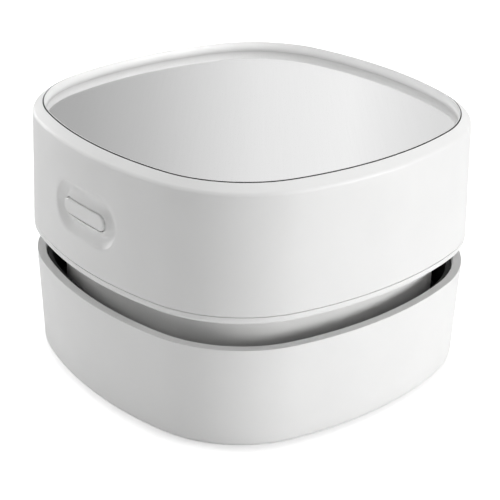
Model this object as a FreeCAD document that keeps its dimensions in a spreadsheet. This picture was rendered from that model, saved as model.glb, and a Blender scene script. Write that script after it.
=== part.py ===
import FreeCAD, Part
import math
import os
from enum import IntEnum

import Sketcher
from FreeCAD import Placement, Rotation, Vector

# A desk-top mini vacuum cleaner: a head with the fan, motor, cell and button, which lifts
# off a lower case that holds the dust cup. Millimetres, +Z up, the origin on the desk under
# the centre of the case, the button on the -Y face and the charging socket on the +Y face.

SIZES = {
    # Case outline: a square with bulged sides and round corners. An inset is measured
    # inwards from this outline.
    "across_flats": 88.0,
    "side_radius": 84.5,
    "corner_radius": 27.5,
    # Lower case
    "foot_rise": 0.8,
    "lower_height": 23.4,
    "lower_flare": 0.55,
    "lower_draft": 0.65,
    "lower_wall": 2.0,
    "lower_floor": 3.2,
    "bottom_band": 2.0,
    "bottom_round": 1.6,
    "rim_round": 0.7,
    # Base plate, mouth and feet
    "base_plate_inset": 6.0,
    "base_plate_thick": 1.2,
    "mouth_radius": 12.0,
    "mouth_lead": 0.8,
    "brush_groove_edge": 1.2,
    "brush_groove_width": 1.8,
    "brush_groove_depth": 2.0,
    "collar_wall": 1.0,
    "brush_ring_tall": 1.2,
    "tuft_radius": 0.5,
    "tuft_clearance": 0.1,
    "foot_radius": 4.0,
    "foot_seat_depth": 0.5,
    "foot_edge": 3.0,
    # Dust cup and filter
    "cup_wall": 1.2,
    "cup_floor": 1.0,
    "cup_drop": 1.5,
    "chamber_height": 6.5,
    "tube_wall": 1.2,
    "tube_gap": 2.9,
    "leg_radius": 2.4,
    "leg_edge": 3.0,
    "filter_clearance": 0.4,
    "filter_frame_thick": 2.0,
    "filter_window": 26.0,
    "mesh_land": 2.0,
    "mesh_thick": 0.5,
    "spoke_width": 1.6,
    "spoke_thick": 1.0,
    "seal_width": 2.2,
    "seal_height": 1.5,
    # Head
    "neck_gap": 5.9,
    "lip_height": 1.7,
    "lip_round": 0.8,
    "spigot_wall": 1.2,
    "spigot_height": 2.5,
    "motor_window": 13.0,
    "upper_height": 27.2,
    "upper_flare": 0.85,
    "upper_wall": 1.7,
    "crown_drop": 1.6,
    "crown_shoulder": 0.15,
    "crown_run": 2.6,
    "crown_wall": 2.8,
    "recess_depth": 2.2,
    "panel_thick": 1.2,
    "panel_gap": 0.15,
    "tape_thick": 0.3,
    "tape_edge": 0.8,
    "tape_width": 4.0,
    "deck_thick": 1.8,
    # Neck and fan
    "neck_inset": 5.9,
    "neck_wall": 1.6,
    "fan_plate_thick": 1.6,
    "fan_plate_drop": 5.3,
    "tower_radius": 2.8,
    "tower_edge": 0.35,
    "cover_thick": 1.4,
    "cover_boss_radius": 2.4,
    "cover_boss_edge": 1.0,
    "eye_radius": 10.0,
    "vent_width": 2.2,
    "vent_height": 2.6,
    "vent_pitch": 3.4,
    "vent_edge": 0.4,
    "scroll_gap": 4.5,
    "fan_top_gap": 0.8,
    "fan_bottom_gap": 1.2,
    "fan_disc_thick": 1.2,
    "fan_hub_radius": 4.0,
    "blade_thick": 1.0,
    "blade_curve": 16.0,
    # Motor
    "motor_radius": 10.1,
    "can_length": 16.8,
    "can_wall": 0.8,
    "motor_cap_thick": 3.2,
    "bush_radius": 2.9,
    "bush_length": 2.4,
    "bush_proud": 1.0,
    "shaft_radius": 1.0,
    "running_clearance": 0.05,
    "magnet_thick": 1.6,
    "magnet_length": 13.0,
    "magnet_span": 120.0,
    "air_gap": 0.5,
    "armature_length": 11.0,
    "armature_slot": 1.4,
    "commutator_radius": 2.6,
    "commutator_length": 2.4,
    "terminal_height": 1.4,
    "terminal_width": 2.2,
    "terminal_thick": 0.5,
    "terminal_spread": 5.0,
    # Cell
    "cell_radius": 5.1,
    "cell_length": 43.0,
    "cell_end_radius": 2.2,
    "cell_end_height": 0.8,
    "cell_gap": 0.9,
    "cradle_floor": 1.2,
    "cradle_length": 34.0,
    "cradle_wall": 0.7,
    # Button and control board
    "button_drop": 15.0,
    "button_length": 14.4,
    "button_height": 3.4,
    "button_gap": 0.25,
    "button_sink": 0.1,
    "button_flange": 1.0,
    "button_flange_thick": 0.9,
    "button_flange_gap": 0.65,
    "button_stem_radius": 1.5,
    "button_stem_length": 1.0,
    "dish_length": 19.8,
    "dish_height": 9.2,
    "dish_depth": 1.0,
    "dish_slope": 1.2,
    "plunger_radius": 1.75,
    "plunger_proud": 0.8,
    "plunger_inside": 0.6,
    "plunger_travel_room": 0.8,
    "switch_side": 6.0,
    "switch_depth": 3.2,
    "board_thick": 1.2,
    "board_half_width": 18.0,
    "board_top_gap": 2.2,
    "rail_width": 2.4,
    "rail_height": 5.0,
    "rail_grip": 1.4,
    "chip_side": 5.0,
    "chip_thick": 1.0,
    # Charging board and socket
    "charge_board_width": 18.0,
    "charge_board_length": 13.0,
    "charge_board_gap": 0.8,
    "charge_standoff": 1.6,
    "socket_width": 8.94,
    "socket_height": 3.26,
    "socket_wall": 0.3,
    "socket_length": 7.3,
    "socket_sink": 0.9,
    "socket_fit": 0.2,
    "tongue_width": 6.7,
    "tongue_thick": 0.7,
    "tongue_length": 4.6,
    # Leads
    "lead_radius": 0.45,
    "lead_bend": 1.8,
    "lead_gap": 0.6,
    # Screws
    "small_screw_radius": 0.95,
    "small_screw_head": 1.8,
    "case_screw_radius": 1.15,
    "case_screw_head": 2.2,
    "case_screw_length": 11.0,
    "cover_screw_length": 5.0,
    "base_screw_length": 2.6,
    "motor_screw_radius": 0.75,
    "motor_screw_head": 1.3,
    "motor_screw_length": 2.2,
    "motor_screw_spread": 6.0,
    "recess_reach": 0.62,
    "recess_slit": 0.14,
    "recess_depth_share": 0.45,
    "thread_clearance": 0.05,
    "seat_clearance": 0.05,
    "fit_clearance": 0.1,
    "slide_clearance": 0.2,
    # How far a cut starts outside the wall that it goes through
    "cut_margin": 1.5,
}

TUFTS = 36
VENTS = 9
BLADES = 9
ARMATURE_POLES = 3

FULL_TURN = 360
HALF_TURN = 180
QUARTER_TURN = 90
LEAST_CHANGE = 1e-6
SAME_LEVEL = 1e-4
SAME_PLACE = 1e-3


class Size:
    """A length with its value and the same sum as a spreadsheet formula."""

    def __init__(self, value, text):
        self.value = float(value)
        self.text = text

    def __add__(self, other):
        other = size_of(other)
        return Size(self.value + other.value, f"({self.text} + {other.text})")

    def __sub__(self, other):
        other = size_of(other)
        return Size(self.value - other.value, f"({self.text} - {other.text})")

    def __mul__(self, factor):
        factor = size_of(factor)
        return Size(self.value * factor.value, f"({self.text} * {factor.text})")

    def __truediv__(self, factor):
        factor = size_of(factor)
        return Size(self.value / factor.value, f"({self.text} / {factor.text})")

    def __neg__(self):
        return Size(-self.value, f"(0 - {self.text})")


def size_of(number):
    """A Size as it is, or a plain number made one."""
    if isinstance(number, Size):
        return number
    return Size(number, repr(float(number)))


def root(size):
    return Size(math.sqrt(size.value), f"sqrt({size.text})")


doc = FreeCAD.newDocument("DeskVacuum")
sheet = doc.addObject("Spreadsheet::Sheet", "Sizes")


class Named:
    """Every driving dimension of the sheet by its name."""


S = Named()
for row, (alias, number) in enumerate(SIZES.items(), start=1):
    sheet.set(f"A{row}", alias)
    sheet.set(f"B{row}", str(number))
    sheet.setAlias(f"B{row}", alias)
    setattr(S, alias, Size(number, f"Sizes.{alias}"))
doc.recompute()

# Levels above the desk, from the foot to the crown.
shell_bottom = S.foot_rise
floor_top = shell_bottom + S.lower_floor
rim = shell_bottom + S.lower_height
cup_bottom = floor_top
cup_floor_top = cup_bottom + S.cup_floor
cup_top = rim - S.cup_drop
filter_bottom = cup_floor_top + S.chamber_height
filter_top = filter_bottom + S.filter_frame_thick
tube_top = filter_bottom - S.tube_gap
neck_bottom = filter_top + S.seal_height
cover_top = neck_bottom + S.cover_thick
lip_bottom = rim + S.neck_gap
seam = lip_bottom + S.lip_height
crown = seam + S.upper_height
shoulder = crown - S.crown_drop
panel_face = crown - S.recess_depth
panel_bottom = panel_face - S.panel_thick
deck_top = panel_bottom - S.tape_thick
deck_bottom = deck_top - S.deck_thick
fan_plate_bottom = lip_bottom - S.fan_plate_drop
fan_plate_top = fan_plate_bottom + S.fan_plate_thick
button_level = crown - S.button_drop

# The outline's arcs: each side arc is centred side_centre beyond the middle, and each corner
# arc is centred corner_centre out along both axes, so that the arcs meet at a tangent.
half_across = S.across_flats / 2
side_centre = S.side_radius - half_across
radius_gap = S.side_radius - S.corner_radius
corner_centre = (root(radius_gap * radius_gap * 2 - side_centre * side_centre) - side_centre) / 2
DIAGONAL = 2.0
corner_reach = corner_centre * root(size_of(DIAGONAL)) + S.corner_radius

# Insets that more than one piece shares.
cavity_inset = S.lower_wall - S.lower_flare
cup_inset = cavity_inset + S.slide_clearance
cup_inner = cup_inset + S.cup_wall
filter_inset = cup_inner + S.filter_clearance
neck_inner = S.neck_inset + S.neck_wall
brush_inner = S.mouth_radius + S.brush_groove_edge
brush_outer = brush_inner + S.brush_groove_width
collar_radius = brush_outer + S.collar_wall
mesh_radius = S.filter_window + S.mesh_land
panel_inset = S.crown_wall + S.panel_gap
tape_inset = panel_inset + S.tape_edge


def at_corner(inset):
    """x and y of the point that lies inset inside the outline's corner."""
    return (corner_reach - inset) / root(size_of(DIAGONAL))


def at_side(inset):
    return half_across - inset


tower_place = at_corner(neck_inner + S.tower_radius + S.tower_edge)
cover_boss_place = at_side(neck_inner + S.cover_boss_radius + S.cover_boss_edge)
leg_place = at_corner(filter_inset + S.leg_radius + S.leg_edge)
foot_place = at_corner(S.base_plate_inset + S.foot_radius + S.foot_edge)
base_screw_place = at_side(S.base_plate_inset + S.foot_radius + S.foot_edge)
fan_radius = cover_boss_place - S.cover_boss_radius - S.scroll_gap

# Motor levels, from the plate that it stands on.
can_top = fan_plate_top + S.can_length
motor_top = can_top + S.motor_cap_thick
fan_disc_top = fan_plate_bottom - S.fan_top_gap
fan_disc_bottom = fan_disc_top - S.fan_disc_thick
fan_bottom = cover_top + S.fan_bottom_gap

# Button chain, as distances in front of the middle, at the button's level.
wall_rise = (button_level - seam) / (shoulder - seam)
button_wall_inset = (S.upper_flare + S.crown_shoulder) * wall_rise - S.upper_flare
button_wall = half_across - button_wall_inset
dish_floor = button_wall - S.dish_depth
button_face = button_wall - S.button_sink
flange_front = half_across - S.upper_wall - S.button_flange_gap + S.fit_clearance
flange_back = flange_front - S.button_flange_thick
plunger_tip = flange_back - S.button_stem_length
switch_front = plunger_tip - S.plunger_proud
board_front = switch_front - S.switch_depth
board_back = board_front - S.board_thick

# Charging board, on the floor of the head, behind the cell.
charge_board_bottom = seam + S.charge_standoff
charge_board_top = charge_board_bottom + S.board_thick
socket_level = charge_board_top + S.socket_height / 2
socket_mouth = half_across - S.socket_sink
charge_board_back = half_across - S.upper_wall - S.spigot_wall - S.charge_board_gap
cell_y = S.motor_radius + S.cell_gap + S.cell_radius
cell_level = seam + S.cradle_floor + S.cell_radius

nodes = {}


def bind(item, prop, size):
    """Tie a property to the sheet, or set it where it is a plain number."""
    size = size_of(size)
    item.setExpression(prop, size.text)


def keep(item, label):
    """Make an object a sub-part, under the name that its file gets."""
    item.Label = label
    nodes[label] = item
    return item


# ---------------------------------------------------------------- sketches and features


def new_body(label):
    return keep(doc.addObject("PartDesign::Body", label), label)


def origin_feature(body, role):
    return next(item for item in body.Origin.OriginFeatures if item.Role == role)


def new_sketch(body, role, level):
    sketch = body.newObject("Sketcher::SketchObject", body.Name + "_sketch")
    sketch.AttachmentSupport = [(origin_feature(body, role), "")]
    sketch.MapMode = "FlatFace"
    bind(sketch, "AttachmentOffset.Base.z", level)
    return sketch


def drive(sketch, name, size, *constraint):
    """Add a constraint with a datum and tie the datum to the sheet."""
    size = size_of(size)
    index = sketch.addConstraint(Sketcher.Constraint(*constraint, size.value))
    sketch.renameConstraint(index, name)
    sketch.setExpression(f"Constraints.{name}", size.text)


class Spot(IntEnum):
    """The sketcher's names for its axes and for the points of a line or an arc."""

    AXIS_Y = -2
    AXIS_X = -1
    START = 1
    END = 2
    CENTRE = 3


AXIS_X, AXIS_Y, START, END, CENTRE = Spot.AXIS_X, Spot.AXIS_Y, Spot.START, Spot.END, Spot.CENTRE


def pin_point(sketch, geometry, point, x, y):
    """Hold a point of the sketch at x, y, which may be negative or zero."""
    for letter, axis, place in (("X", AXIS_Y, size_of(x)), ("Y", AXIS_X, size_of(y))):
        name = f"at{letter}{geometry}_{point}"
        if place.value == 0:
            sketch.addConstraint(Sketcher.Constraint("PointOnObject", geometry, point, axis))
        elif place.value > 0:
            drive(sketch, name, place, f"Distance{letter}", AXIS_X, START, geometry, point)
        else:
            drive(sketch, name, -place, f"Distance{letter}", geometry, point, AXIS_X, START)


def outline(body, level, inset):
    """The case outline, moved in by inset, as eight tangent arcs."""
    sketch = new_sketch(body, "XY_Plane", level)
    side = S.side_radius - inset
    corner = S.corner_radius - inset
    centre, middle = corner_centre.value, side_centre.value
    half_angle = math.atan2(centre, centre + middle)
    quarter = math.pi / 2
    for turn in range(4):
        facing = turn * quarter
        back = Vector(-middle * math.cos(facing), -middle * math.sin(facing), 0)
        arc = Part.Circle(back, Vector(0, 0, 1), side.value)
        sketch.addGeometry(Part.ArcOfCircle(arc, facing - half_angle, facing + half_angle))
        diagonal = facing + quarter / 2
        reach = centre * math.sqrt(DIAGONAL)
        spot = Vector(reach * math.cos(diagonal), reach * math.sin(diagonal), 0)
        arc = Part.Circle(spot, Vector(0, 0, 1), corner.value)
        sketch.addGeometry(
            Part.ArcOfCircle(arc, facing + half_angle, facing + quarter - half_angle)
        )
    arcs = range(8)
    for this in arcs:
        following = (this + 1) % len(arcs)
        sketch.addConstraint(Sketcher.Constraint("Tangent", this, END, following, START))
    pin_point(sketch, 0, CENTRE, -side_centre, 0)
    pin_point(sketch, 2, CENTRE, 0, -side_centre)
    pin_point(sketch, 4, CENTRE, side_centre, 0)
    pin_point(sketch, 6, CENTRE, 0, side_centre)
    drive(sketch, "side", side, "Radius", 0)
    drive(sketch, "corner", corner, "Radius", 1)
    for this in arcs[2:]:
        sketch.addConstraint(Sketcher.Constraint("Equal", this % 2, this))
    return sketch


def circles(body, level, *rings, role="XY_Plane"):
    """A sketch of circles, each given as (radius, x, y)."""
    sketch = new_sketch(body, role, level)
    for index, (radius, x, y) in enumerate(rings):
        place = Vector(size_of(x).value, size_of(y).value, 0)
        circle = Part.Circle(place, Vector(0, 0, 1), size_of(radius).value)
        sketch.addGeometry(circle)
        pin_point(sketch, index, CENTRE, x, y)
        drive(sketch, f"radius{index}", radius, "Radius", index)
    return sketch


def corners_of(place):
    """The four points at plus and minus place in x and y."""
    return [(place, place), (-place, place), (-place, -place), (place, -place)]


def sides_of(place):
    """The four points at place along each axis."""
    return [(place, 0), (0, place), (-place, 0), (0, -place)]


def dots(body, level, radius, places):
    return circles(body, level, *[(radius, x, y) for x, y in places])


def rectangle(body, role, level, low_x, high_x, low_y, high_y):
    """A rectangle between two corners."""
    sketch = new_sketch(body, role, level)
    left, right = size_of(low_x), size_of(high_x)
    low, high = size_of(low_y), size_of(high_y)
    corners = [
        Vector(left.value, low.value, 0),
        Vector(right.value, low.value, 0),
        Vector(right.value, high.value, 0),
        Vector(left.value, high.value, 0),
    ]
    for index in range(4):
        sketch.addGeometry(Part.LineSegment(corners[index], corners[(index + 1) % 4]))
    for index in range(4):
        following = (index + 1) % 4
        sketch.addConstraint(Sketcher.Constraint("Coincident", index, END, following, START))
        kind = "Horizontal" if index % 2 == 0 else "Vertical"
        sketch.addConstraint(Sketcher.Constraint(kind, index))
    pin_point(sketch, 0, START, left, low)
    pin_point(sketch, 2, START, right, high)
    return sketch


def stadium(body, role, level, length, height, y):
    """A pill shape, length along the sketch's X, centred on its Y axis at y."""
    sketch = new_sketch(body, role, level)
    length, height, y = size_of(length), size_of(height), size_of(y)
    reach = (length - height) / 2
    bow = height / 2
    right = Part.Circle(Vector(reach.value, y.value, 0), Vector(0, 0, 1), bow.value)
    left = Part.Circle(Vector(-reach.value, y.value, 0), Vector(0, 0, 1), bow.value)
    quarter = math.pi / 2
    sketch.addGeometry(Part.ArcOfCircle(right, -quarter, quarter))
    top = y.value + bow.value
    bottom = y.value - bow.value
    sketch.addGeometry(
        Part.LineSegment(Vector(reach.value, top, 0), Vector(-reach.value, top, 0))
    )
    sketch.addGeometry(Part.ArcOfCircle(left, quarter, 3 * quarter))
    sketch.addGeometry(
        Part.LineSegment(Vector(-reach.value, bottom, 0), Vector(reach.value, bottom, 0))
    )
    for this in range(4):
        sketch.addConstraint(Sketcher.Constraint("Tangent", this, END, (this + 1) % 4, START))
    sketch.addConstraint(Sketcher.Constraint("Equal", 0, 2))
    drive(sketch, "bow", bow, "Radius", 0)
    pin_point(sketch, 0, CENTRE, reach, y)
    pin_point(sketch, 2, CENTRE, -reach, y)
    return sketch


def grown(body, before):
    """Check that the newest feature changed the body's volume."""
    doc.recompute()
    after = body.Shape.Volume
    if abs(after - before) < LEAST_CHANGE:
        raise RuntimeError(f"{body.Label}: {body.Tip.Name} changed nothing")
    return body.Tip


def volume_of(body):
    return body.Shape.Volume if body.Tip else 0.0


def pad(body, sketch, length, downward=False):
    before = volume_of(body)
    feature = body.newObject("PartDesign::Pad", body.Name + "_pad")
    feature.Profile = sketch
    feature.Reversed = downward
    bind(feature, "Length", length)
    return grown(body, before)


def pocket(body, sketch, length, upward=False):
    before = volume_of(body)
    feature = body.newObject("PartDesign::Pocket", body.Name + "_pocket")
    feature.Profile = sketch
    feature.Reversed = upward
    bind(feature, "Length", length)
    return grown(body, before)


def loft(body, sketches, kind="AdditiveLoft"):
    before = volume_of(body)
    feature = body.newObject("PartDesign::" + kind, body.Name + "_loft")
    feature.Profile = sketches[0]
    feature.Sections = sketches[1:]
    feature.Ruled = True
    return grown(body, before)


def dress(body, kind, edges, prop, size):
    """Round or bevel the named edges of the body's newest feature."""
    before = volume_of(body)
    base = body.Tip
    feature = body.newObject("PartDesign::" + kind, body.Name + "_" + kind.lower())
    feature.Base = (base, edges)
    bind(feature, prop, size)
    return grown(body, before)


def flat_edges(body, level, nearest, farthest):
    """Names of the edges that lie at a level, by their distance from the Z axis."""
    names = []
    for index, edge in enumerate(body.Tip.Shape.Edges, start=1):
        box = edge.BoundBox
        flat = box.ZLength < SAME_LEVEL and abs(box.ZMin - level.value) < SAME_LEVEL
        middle = edge.valueAt((edge.FirstParameter + edge.LastParameter) / 2)
        reach = math.hypot(middle.x, middle.y)
        if flat and nearest.value <= reach <= farthest.value:
            names.append(f"Edge{index}")
    return names


def fillet(body, edges, radius):
    return dress(body, "Fillet", edges, "Radius", radius)


def chamfer(body, edges, size):
    return dress(body, "Chamfer", edges, "Size", size)


def around(body, feature, count):
    """Repeat a feature round the Z axis."""
    before = volume_of(body)
    pattern = body.newObject("PartDesign::PolarPattern", body.Name + "_around")
    pattern.Originals = [feature]
    pattern.Axis = (origin_feature(body, "Z_Axis"), [""])
    pattern.Angle = FULL_TURN
    pattern.Occurrences = count
    body.Tip = pattern
    return grown(body, before)


# ---------------------------------------------------------------- primitives


def cylinder(name, radius, height, x=0, y=0, z=0):
    item = doc.addObject("Part::Cylinder", name)
    bind(item, "Radius", radius)
    bind(item, "Height", height)
    place(item, x, y, z)
    return item


def block(name, low, high):
    """A box between two corners."""
    item = doc.addObject("Part::Box", name)
    sides = [size_of(b) - a for a, b in zip(low, high)]
    for prop, side in zip(("Length", "Width", "Height"), sides):
        bind(item, prop, side)
    place(item, *low)
    return item


def place(item, x, y, z):
    for prop, size in zip("xyz", (x, y, z)):
        bind(item, f"Placement.Base.{prop}", size)


def cut(name, base, *tools):
    """base with every tool taken out of it."""
    for index, tool in enumerate(tools):
        item = doc.addObject("Part::Cut", f"{name}_cut{index}")
        item.Base = base
        item.Tool = tool
        base = item
    return base


def fuse(name, *items):
    item = doc.addObject("Part::MultiFuse", name)
    item.Shapes = list(items)
    return item


def group(label, shapes):
    """A sub-part of several like solids."""
    item = doc.addObject("Part::Feature", label)
    item.Shape = Part.Compound(shapes)
    item.Placement = Placement()
    return keep(item, label)


def copies(shape, places, level):
    """The shape moved to each place, with its zero height at the level."""
    moved = []
    for x, y in places:
        copy = shape.copy()
        copy.translate(Vector(size_of(x).value, size_of(y).value, level.value))
        moved.append(copy)
    return moved


def screw(radius, head, length):
    """A countersunk screw with a cross recess, its head at the bottom and its tip up."""
    bevel = Part.makeCone(head.value, radius.value, head.value - radius.value)
    shank = Part.makeCylinder(radius.value, length.value)
    arm = (head * S.recess_reach).value
    slit = (head * S.recess_slit).value
    deep = (head * S.recess_depth_share).value
    cross = Part.makeBox(2 * arm, 2 * slit, deep, Vector(-arm, -slit, 0))
    cross = cross.fuse(Part.makeBox(2 * slit, 2 * arm, deep, Vector(-slit, -arm, 0)))
    return bevel.fuse(shank).cut(cross).removeSplitter()


def screw_seat(body, level, radius, head, depth, places):
    """Clearance holes up from the level, each with a countersink for its head."""
    hole = radius + S.thread_clearance
    pocket(body, dots(body, level, hole, places), depth, upward=True)
    seat = head + S.fit_clearance - hole
    reach = root(places[0][0] * places[0][0] + size_of(places[0][1]) * places[0][1])
    edges = []
    for index, edge in enumerate(body.Tip.Shape.Edges, start=1):
        box = edge.BoundBox
        flat = box.ZLength < SAME_LEVEL and abs(box.ZMin - level.value) < SAME_LEVEL
        centre = math.hypot(box.Center.x, box.Center.y)
        round_hole = abs(box.XLength - 2 * hole.value) < SAME_PLACE
        if flat and round_hole and abs(centre - reach.value) < SAME_PLACE:
            edges.append(f"Edge{index}")
    chamfer(body, edges, seat)


def lead(points):
    """A round lead along straight runs joined by tangent arcs."""
    spots = [Vector(*[size_of(part).value for part in point]) for point in points]
    bend = S.lead_bend.value
    edges = []
    start = spots[0]
    for index in range(1, len(spots) - 1):
        corner = spots[index]
        back = (spots[index - 1] - corner).normalize()
        ahead = (spots[index + 1] - corner).normalize()
        half_turn = back.getAngle(ahead) / 2
        setback = bend / math.tan(half_turn)
        into = corner + back * setback
        out = corner + ahead * setback
        inward = (back + ahead).normalize()
        centre = corner + inward * (bend / math.sin(half_turn))
        middle = centre - inward * bend
        edges.append(Part.LineSegment(start, into).toShape())
        edges.append(Part.Arc(into, middle, out).toShape())
        start = out
    edges.append(Part.LineSegment(start, spots[-1]).toShape())
    path = Part.Wire(edges)
    heading = (spots[1] - spots[0]).normalize()
    section = Part.Wire(Part.Circle(spots[0], heading, S.lead_radius.value).toShape())
    return path.makePipeShell([section], True, False)


# ---------------------------------------------------------------- dust unit


def make_lower_case():
    body = new_body("lower_case")
    foot_inset = S.lower_draft - S.lower_flare
    band_top = shell_bottom + S.bottom_band
    pad(body, outline(body, shell_bottom, foot_inset), S.bottom_band)
    fillet(body, flat_edges(body, shell_bottom, half_across / 2, corner_reach), S.bottom_round)
    loft(body, [outline(body, band_top, foot_inset), outline(body, rim, -S.lower_flare)])
    pocket(body, outline(body, rim, cavity_inset), S.lower_height - S.lower_floor)
    seat = outline(body, shell_bottom, S.base_plate_inset)
    pocket(body, seat, S.base_plate_thick, upward=True)
    collar = collar_radius + S.slide_clearance
    pocket(body, circles(body, shell_bottom, (collar, 0, 0)), S.lower_floor, upward=True)
    pilot = S.small_screw_radius + S.thread_clearance
    pilots = dots(body, shell_bottom, pilot, sides_of(base_screw_place))
    pocket(body, pilots, S.base_screw_length + S.fit_clearance, upward=True)
    rim_edges = flat_edges(body, rim, at_side(S.lower_wall), corner_reach - cavity_inset)
    fillet(body, rim_edges, S.rim_round)


def make_base_plate():
    body = new_body("base_plate")
    edge = S.base_plate_inset + S.fit_clearance
    pad(body, outline(body, shell_bottom, edge), S.base_plate_thick)
    pad(body, circles(body, shell_bottom, (collar_radius, 0, 0)), S.lower_floor)
    pocket(body, circles(body, shell_bottom, (S.mouth_radius, 0, 0)), S.lower_floor, upward=True)
    groove = circles(body, shell_bottom, (brush_outer, 0, 0), (brush_inner, 0, 0))
    pocket(body, groove, S.brush_groove_depth, upward=True)
    feet = dots(body, shell_bottom, S.foot_radius + S.fit_clearance, corners_of(foot_place))
    pocket(body, feet, S.foot_seat_depth, upward=True)
    screw_seat(
        body,
        shell_bottom,
        S.small_screw_radius,
        S.small_screw_head,
        S.base_plate_thick,
        sides_of(base_screw_place),
    )
    inner, outer = S.mouth_radius - S.fit_clearance, S.mouth_radius + S.fit_clearance
    mouth = flat_edges(body, shell_bottom, inner, outer)
    chamfer(body, mouth, S.mouth_lead)


def make_brush():
    body = new_body("brush_ring")
    top = shell_bottom + S.brush_groove_depth
    outer = brush_outer - S.seat_clearance
    inner = brush_inner + S.seat_clearance
    ring = circles(body, top, (outer, 0, 0), (inner, 0, 0))
    pad(body, ring, S.brush_ring_tall, downward=True)
    length = top - S.brush_ring_tall - S.tuft_clearance
    tuft = Part.makeCylinder(S.tuft_radius.value, length.value)
    middle = (brush_outer + brush_inner) / 2
    places = []
    for index in range(TUFTS):
        angle = 2 * math.pi * index / TUFTS
        places.append((middle.value * math.cos(angle), middle.value * math.sin(angle)))
    group("bristles", copies(tuft, places, S.tuft_clearance))


def make_glide_feet():
    height = S.foot_rise.value + S.foot_seat_depth.value
    pad_shape = Part.makeCylinder(S.foot_radius.value, height)
    lower_edge = [edge for edge in pad_shape.Edges if edge.BoundBox.ZMax < SAME_LEVEL]
    softened = pad_shape.makeFillet(S.foot_rise.value / 2, lower_edge)
    group("glide_feet", copies(softened, corners_of(foot_place), size_of(0)))


def make_dust_cup():
    body = new_body("dust_cup")
    pad(body, outline(body, cup_bottom, cup_inset), cup_top - cup_bottom)
    pocket(body, outline(body, cup_top, cup_inner), cup_top - cup_floor_top)
    outside = S.mouth_radius + S.tube_wall
    hole = circles(body, cup_bottom, (outside + S.fit_clearance, 0, 0))
    pocket(body, hole, S.cup_floor, upward=True)
    tube = new_body("intake_tube")
    pad(tube, circles(tube, cup_bottom, (outside, 0, 0)), tube_top - cup_bottom)
    bore = circles(tube, cup_bottom, (S.mouth_radius, 0, 0))
    pocket(tube, bore, tube_top - cup_bottom, upward=True)


def make_filter():
    body = new_body("filter_frame")
    pad(body, outline(body, filter_bottom, filter_inset), S.filter_frame_thick)
    window = circles(body, filter_bottom, (S.filter_window, 0, 0))
    pocket(body, window, S.filter_frame_thick, upward=True)
    pocket(body, circles(body, filter_top, (mesh_radius, 0, 0)), S.mesh_thick + S.fit_clearance)
    half = S.spoke_width / 2
    for along_x in (True, False):
        reach, width = (S.filter_window, half) if along_x else (half, S.filter_window)
        spoke = rectangle(body, "XY_Plane", filter_bottom, -reach, reach, -width, width)
        pad(body, spoke, S.spoke_thick)
    legs = dots(body, filter_bottom, S.leg_radius, corners_of(leg_place))
    pad(body, legs, S.chamber_height, downward=True)
    mesh = filter_top - S.mesh_thick - S.fit_clearance
    radius = mesh_radius - S.seat_clearance
    keep(cylinder("filter_mesh", radius, S.mesh_thick, z=mesh), "filter_mesh")
    seal = new_body("filter_seal")
    outer = S.neck_inset + S.fit_clearance
    pad(seal, outline(seal, filter_top, outer), S.seal_height)
    pocket(seal, outline(seal, neck_bottom, outer + S.seal_width), S.seal_height)


# ---------------------------------------------------------------- head shells


def make_upper_case():
    body = new_body("upper_case")
    loft(body, [outline(body, seam, -S.upper_flare), outline(body, shoulder, S.crown_shoulder)])
    loft(body, [outline(body, shoulder, S.crown_shoulder), outline(body, crown, S.crown_run)])
    pocket(body, outline(body, crown, S.crown_wall), crown - deck_top)
    pocket(body, outline(body, seam, S.upper_wall), deck_bottom - seam, upward=True)
    posts = dots(body, seam, S.tower_radius, corners_of(tower_place))
    pad(body, posts, deck_bottom - seam)
    pilot = S.case_screw_radius + S.thread_clearance
    depth = fan_plate_bottom + S.case_screw_length + S.fit_clearance - seam
    pilots = dots(body, seam, pilot, corners_of(tower_place))
    pocket(body, pilots, depth, upward=True)
    outer_face = button_wall + S.dish_slope
    spread = S.dish_slope * 2
    dish = []
    for level, change in ((outer_face, spread), (dish_floor, -spread)):
        length, height = S.dish_length + change, S.dish_height + change
        dish.append(stadium(body, "XZ_Plane", level, length, height, button_level))
    loft(body, dish, "SubtractiveLoft")
    slot_length = S.button_length + S.button_gap * 2
    slot_height = S.button_height + S.button_gap * 2
    slot = stadium(body, "XZ_Plane", outer_face, slot_length, slot_height, button_level)
    pocket(body, slot, outer_face - flange_front)
    wide = S.socket_width + S.socket_fit * 2
    tall = S.socket_height + S.socket_fit * 2
    back = half_across + S.cut_margin
    socket = stadium(body, "XZ_Plane", -back, wide, tall, socket_level)
    pocket(body, socket, back - at_side(S.upper_wall) + S.cut_margin, upward=True)


def make_panel():
    tape = new_body("panel_tape")
    pad(tape, outline(tape, deck_top, tape_inset), S.tape_thick)
    pocket(tape, outline(tape, panel_bottom, tape_inset + S.tape_width), S.tape_thick)
    panel = new_body("top_panel")
    pad(panel, outline(panel, panel_bottom, panel_inset), S.panel_thick)


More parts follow.
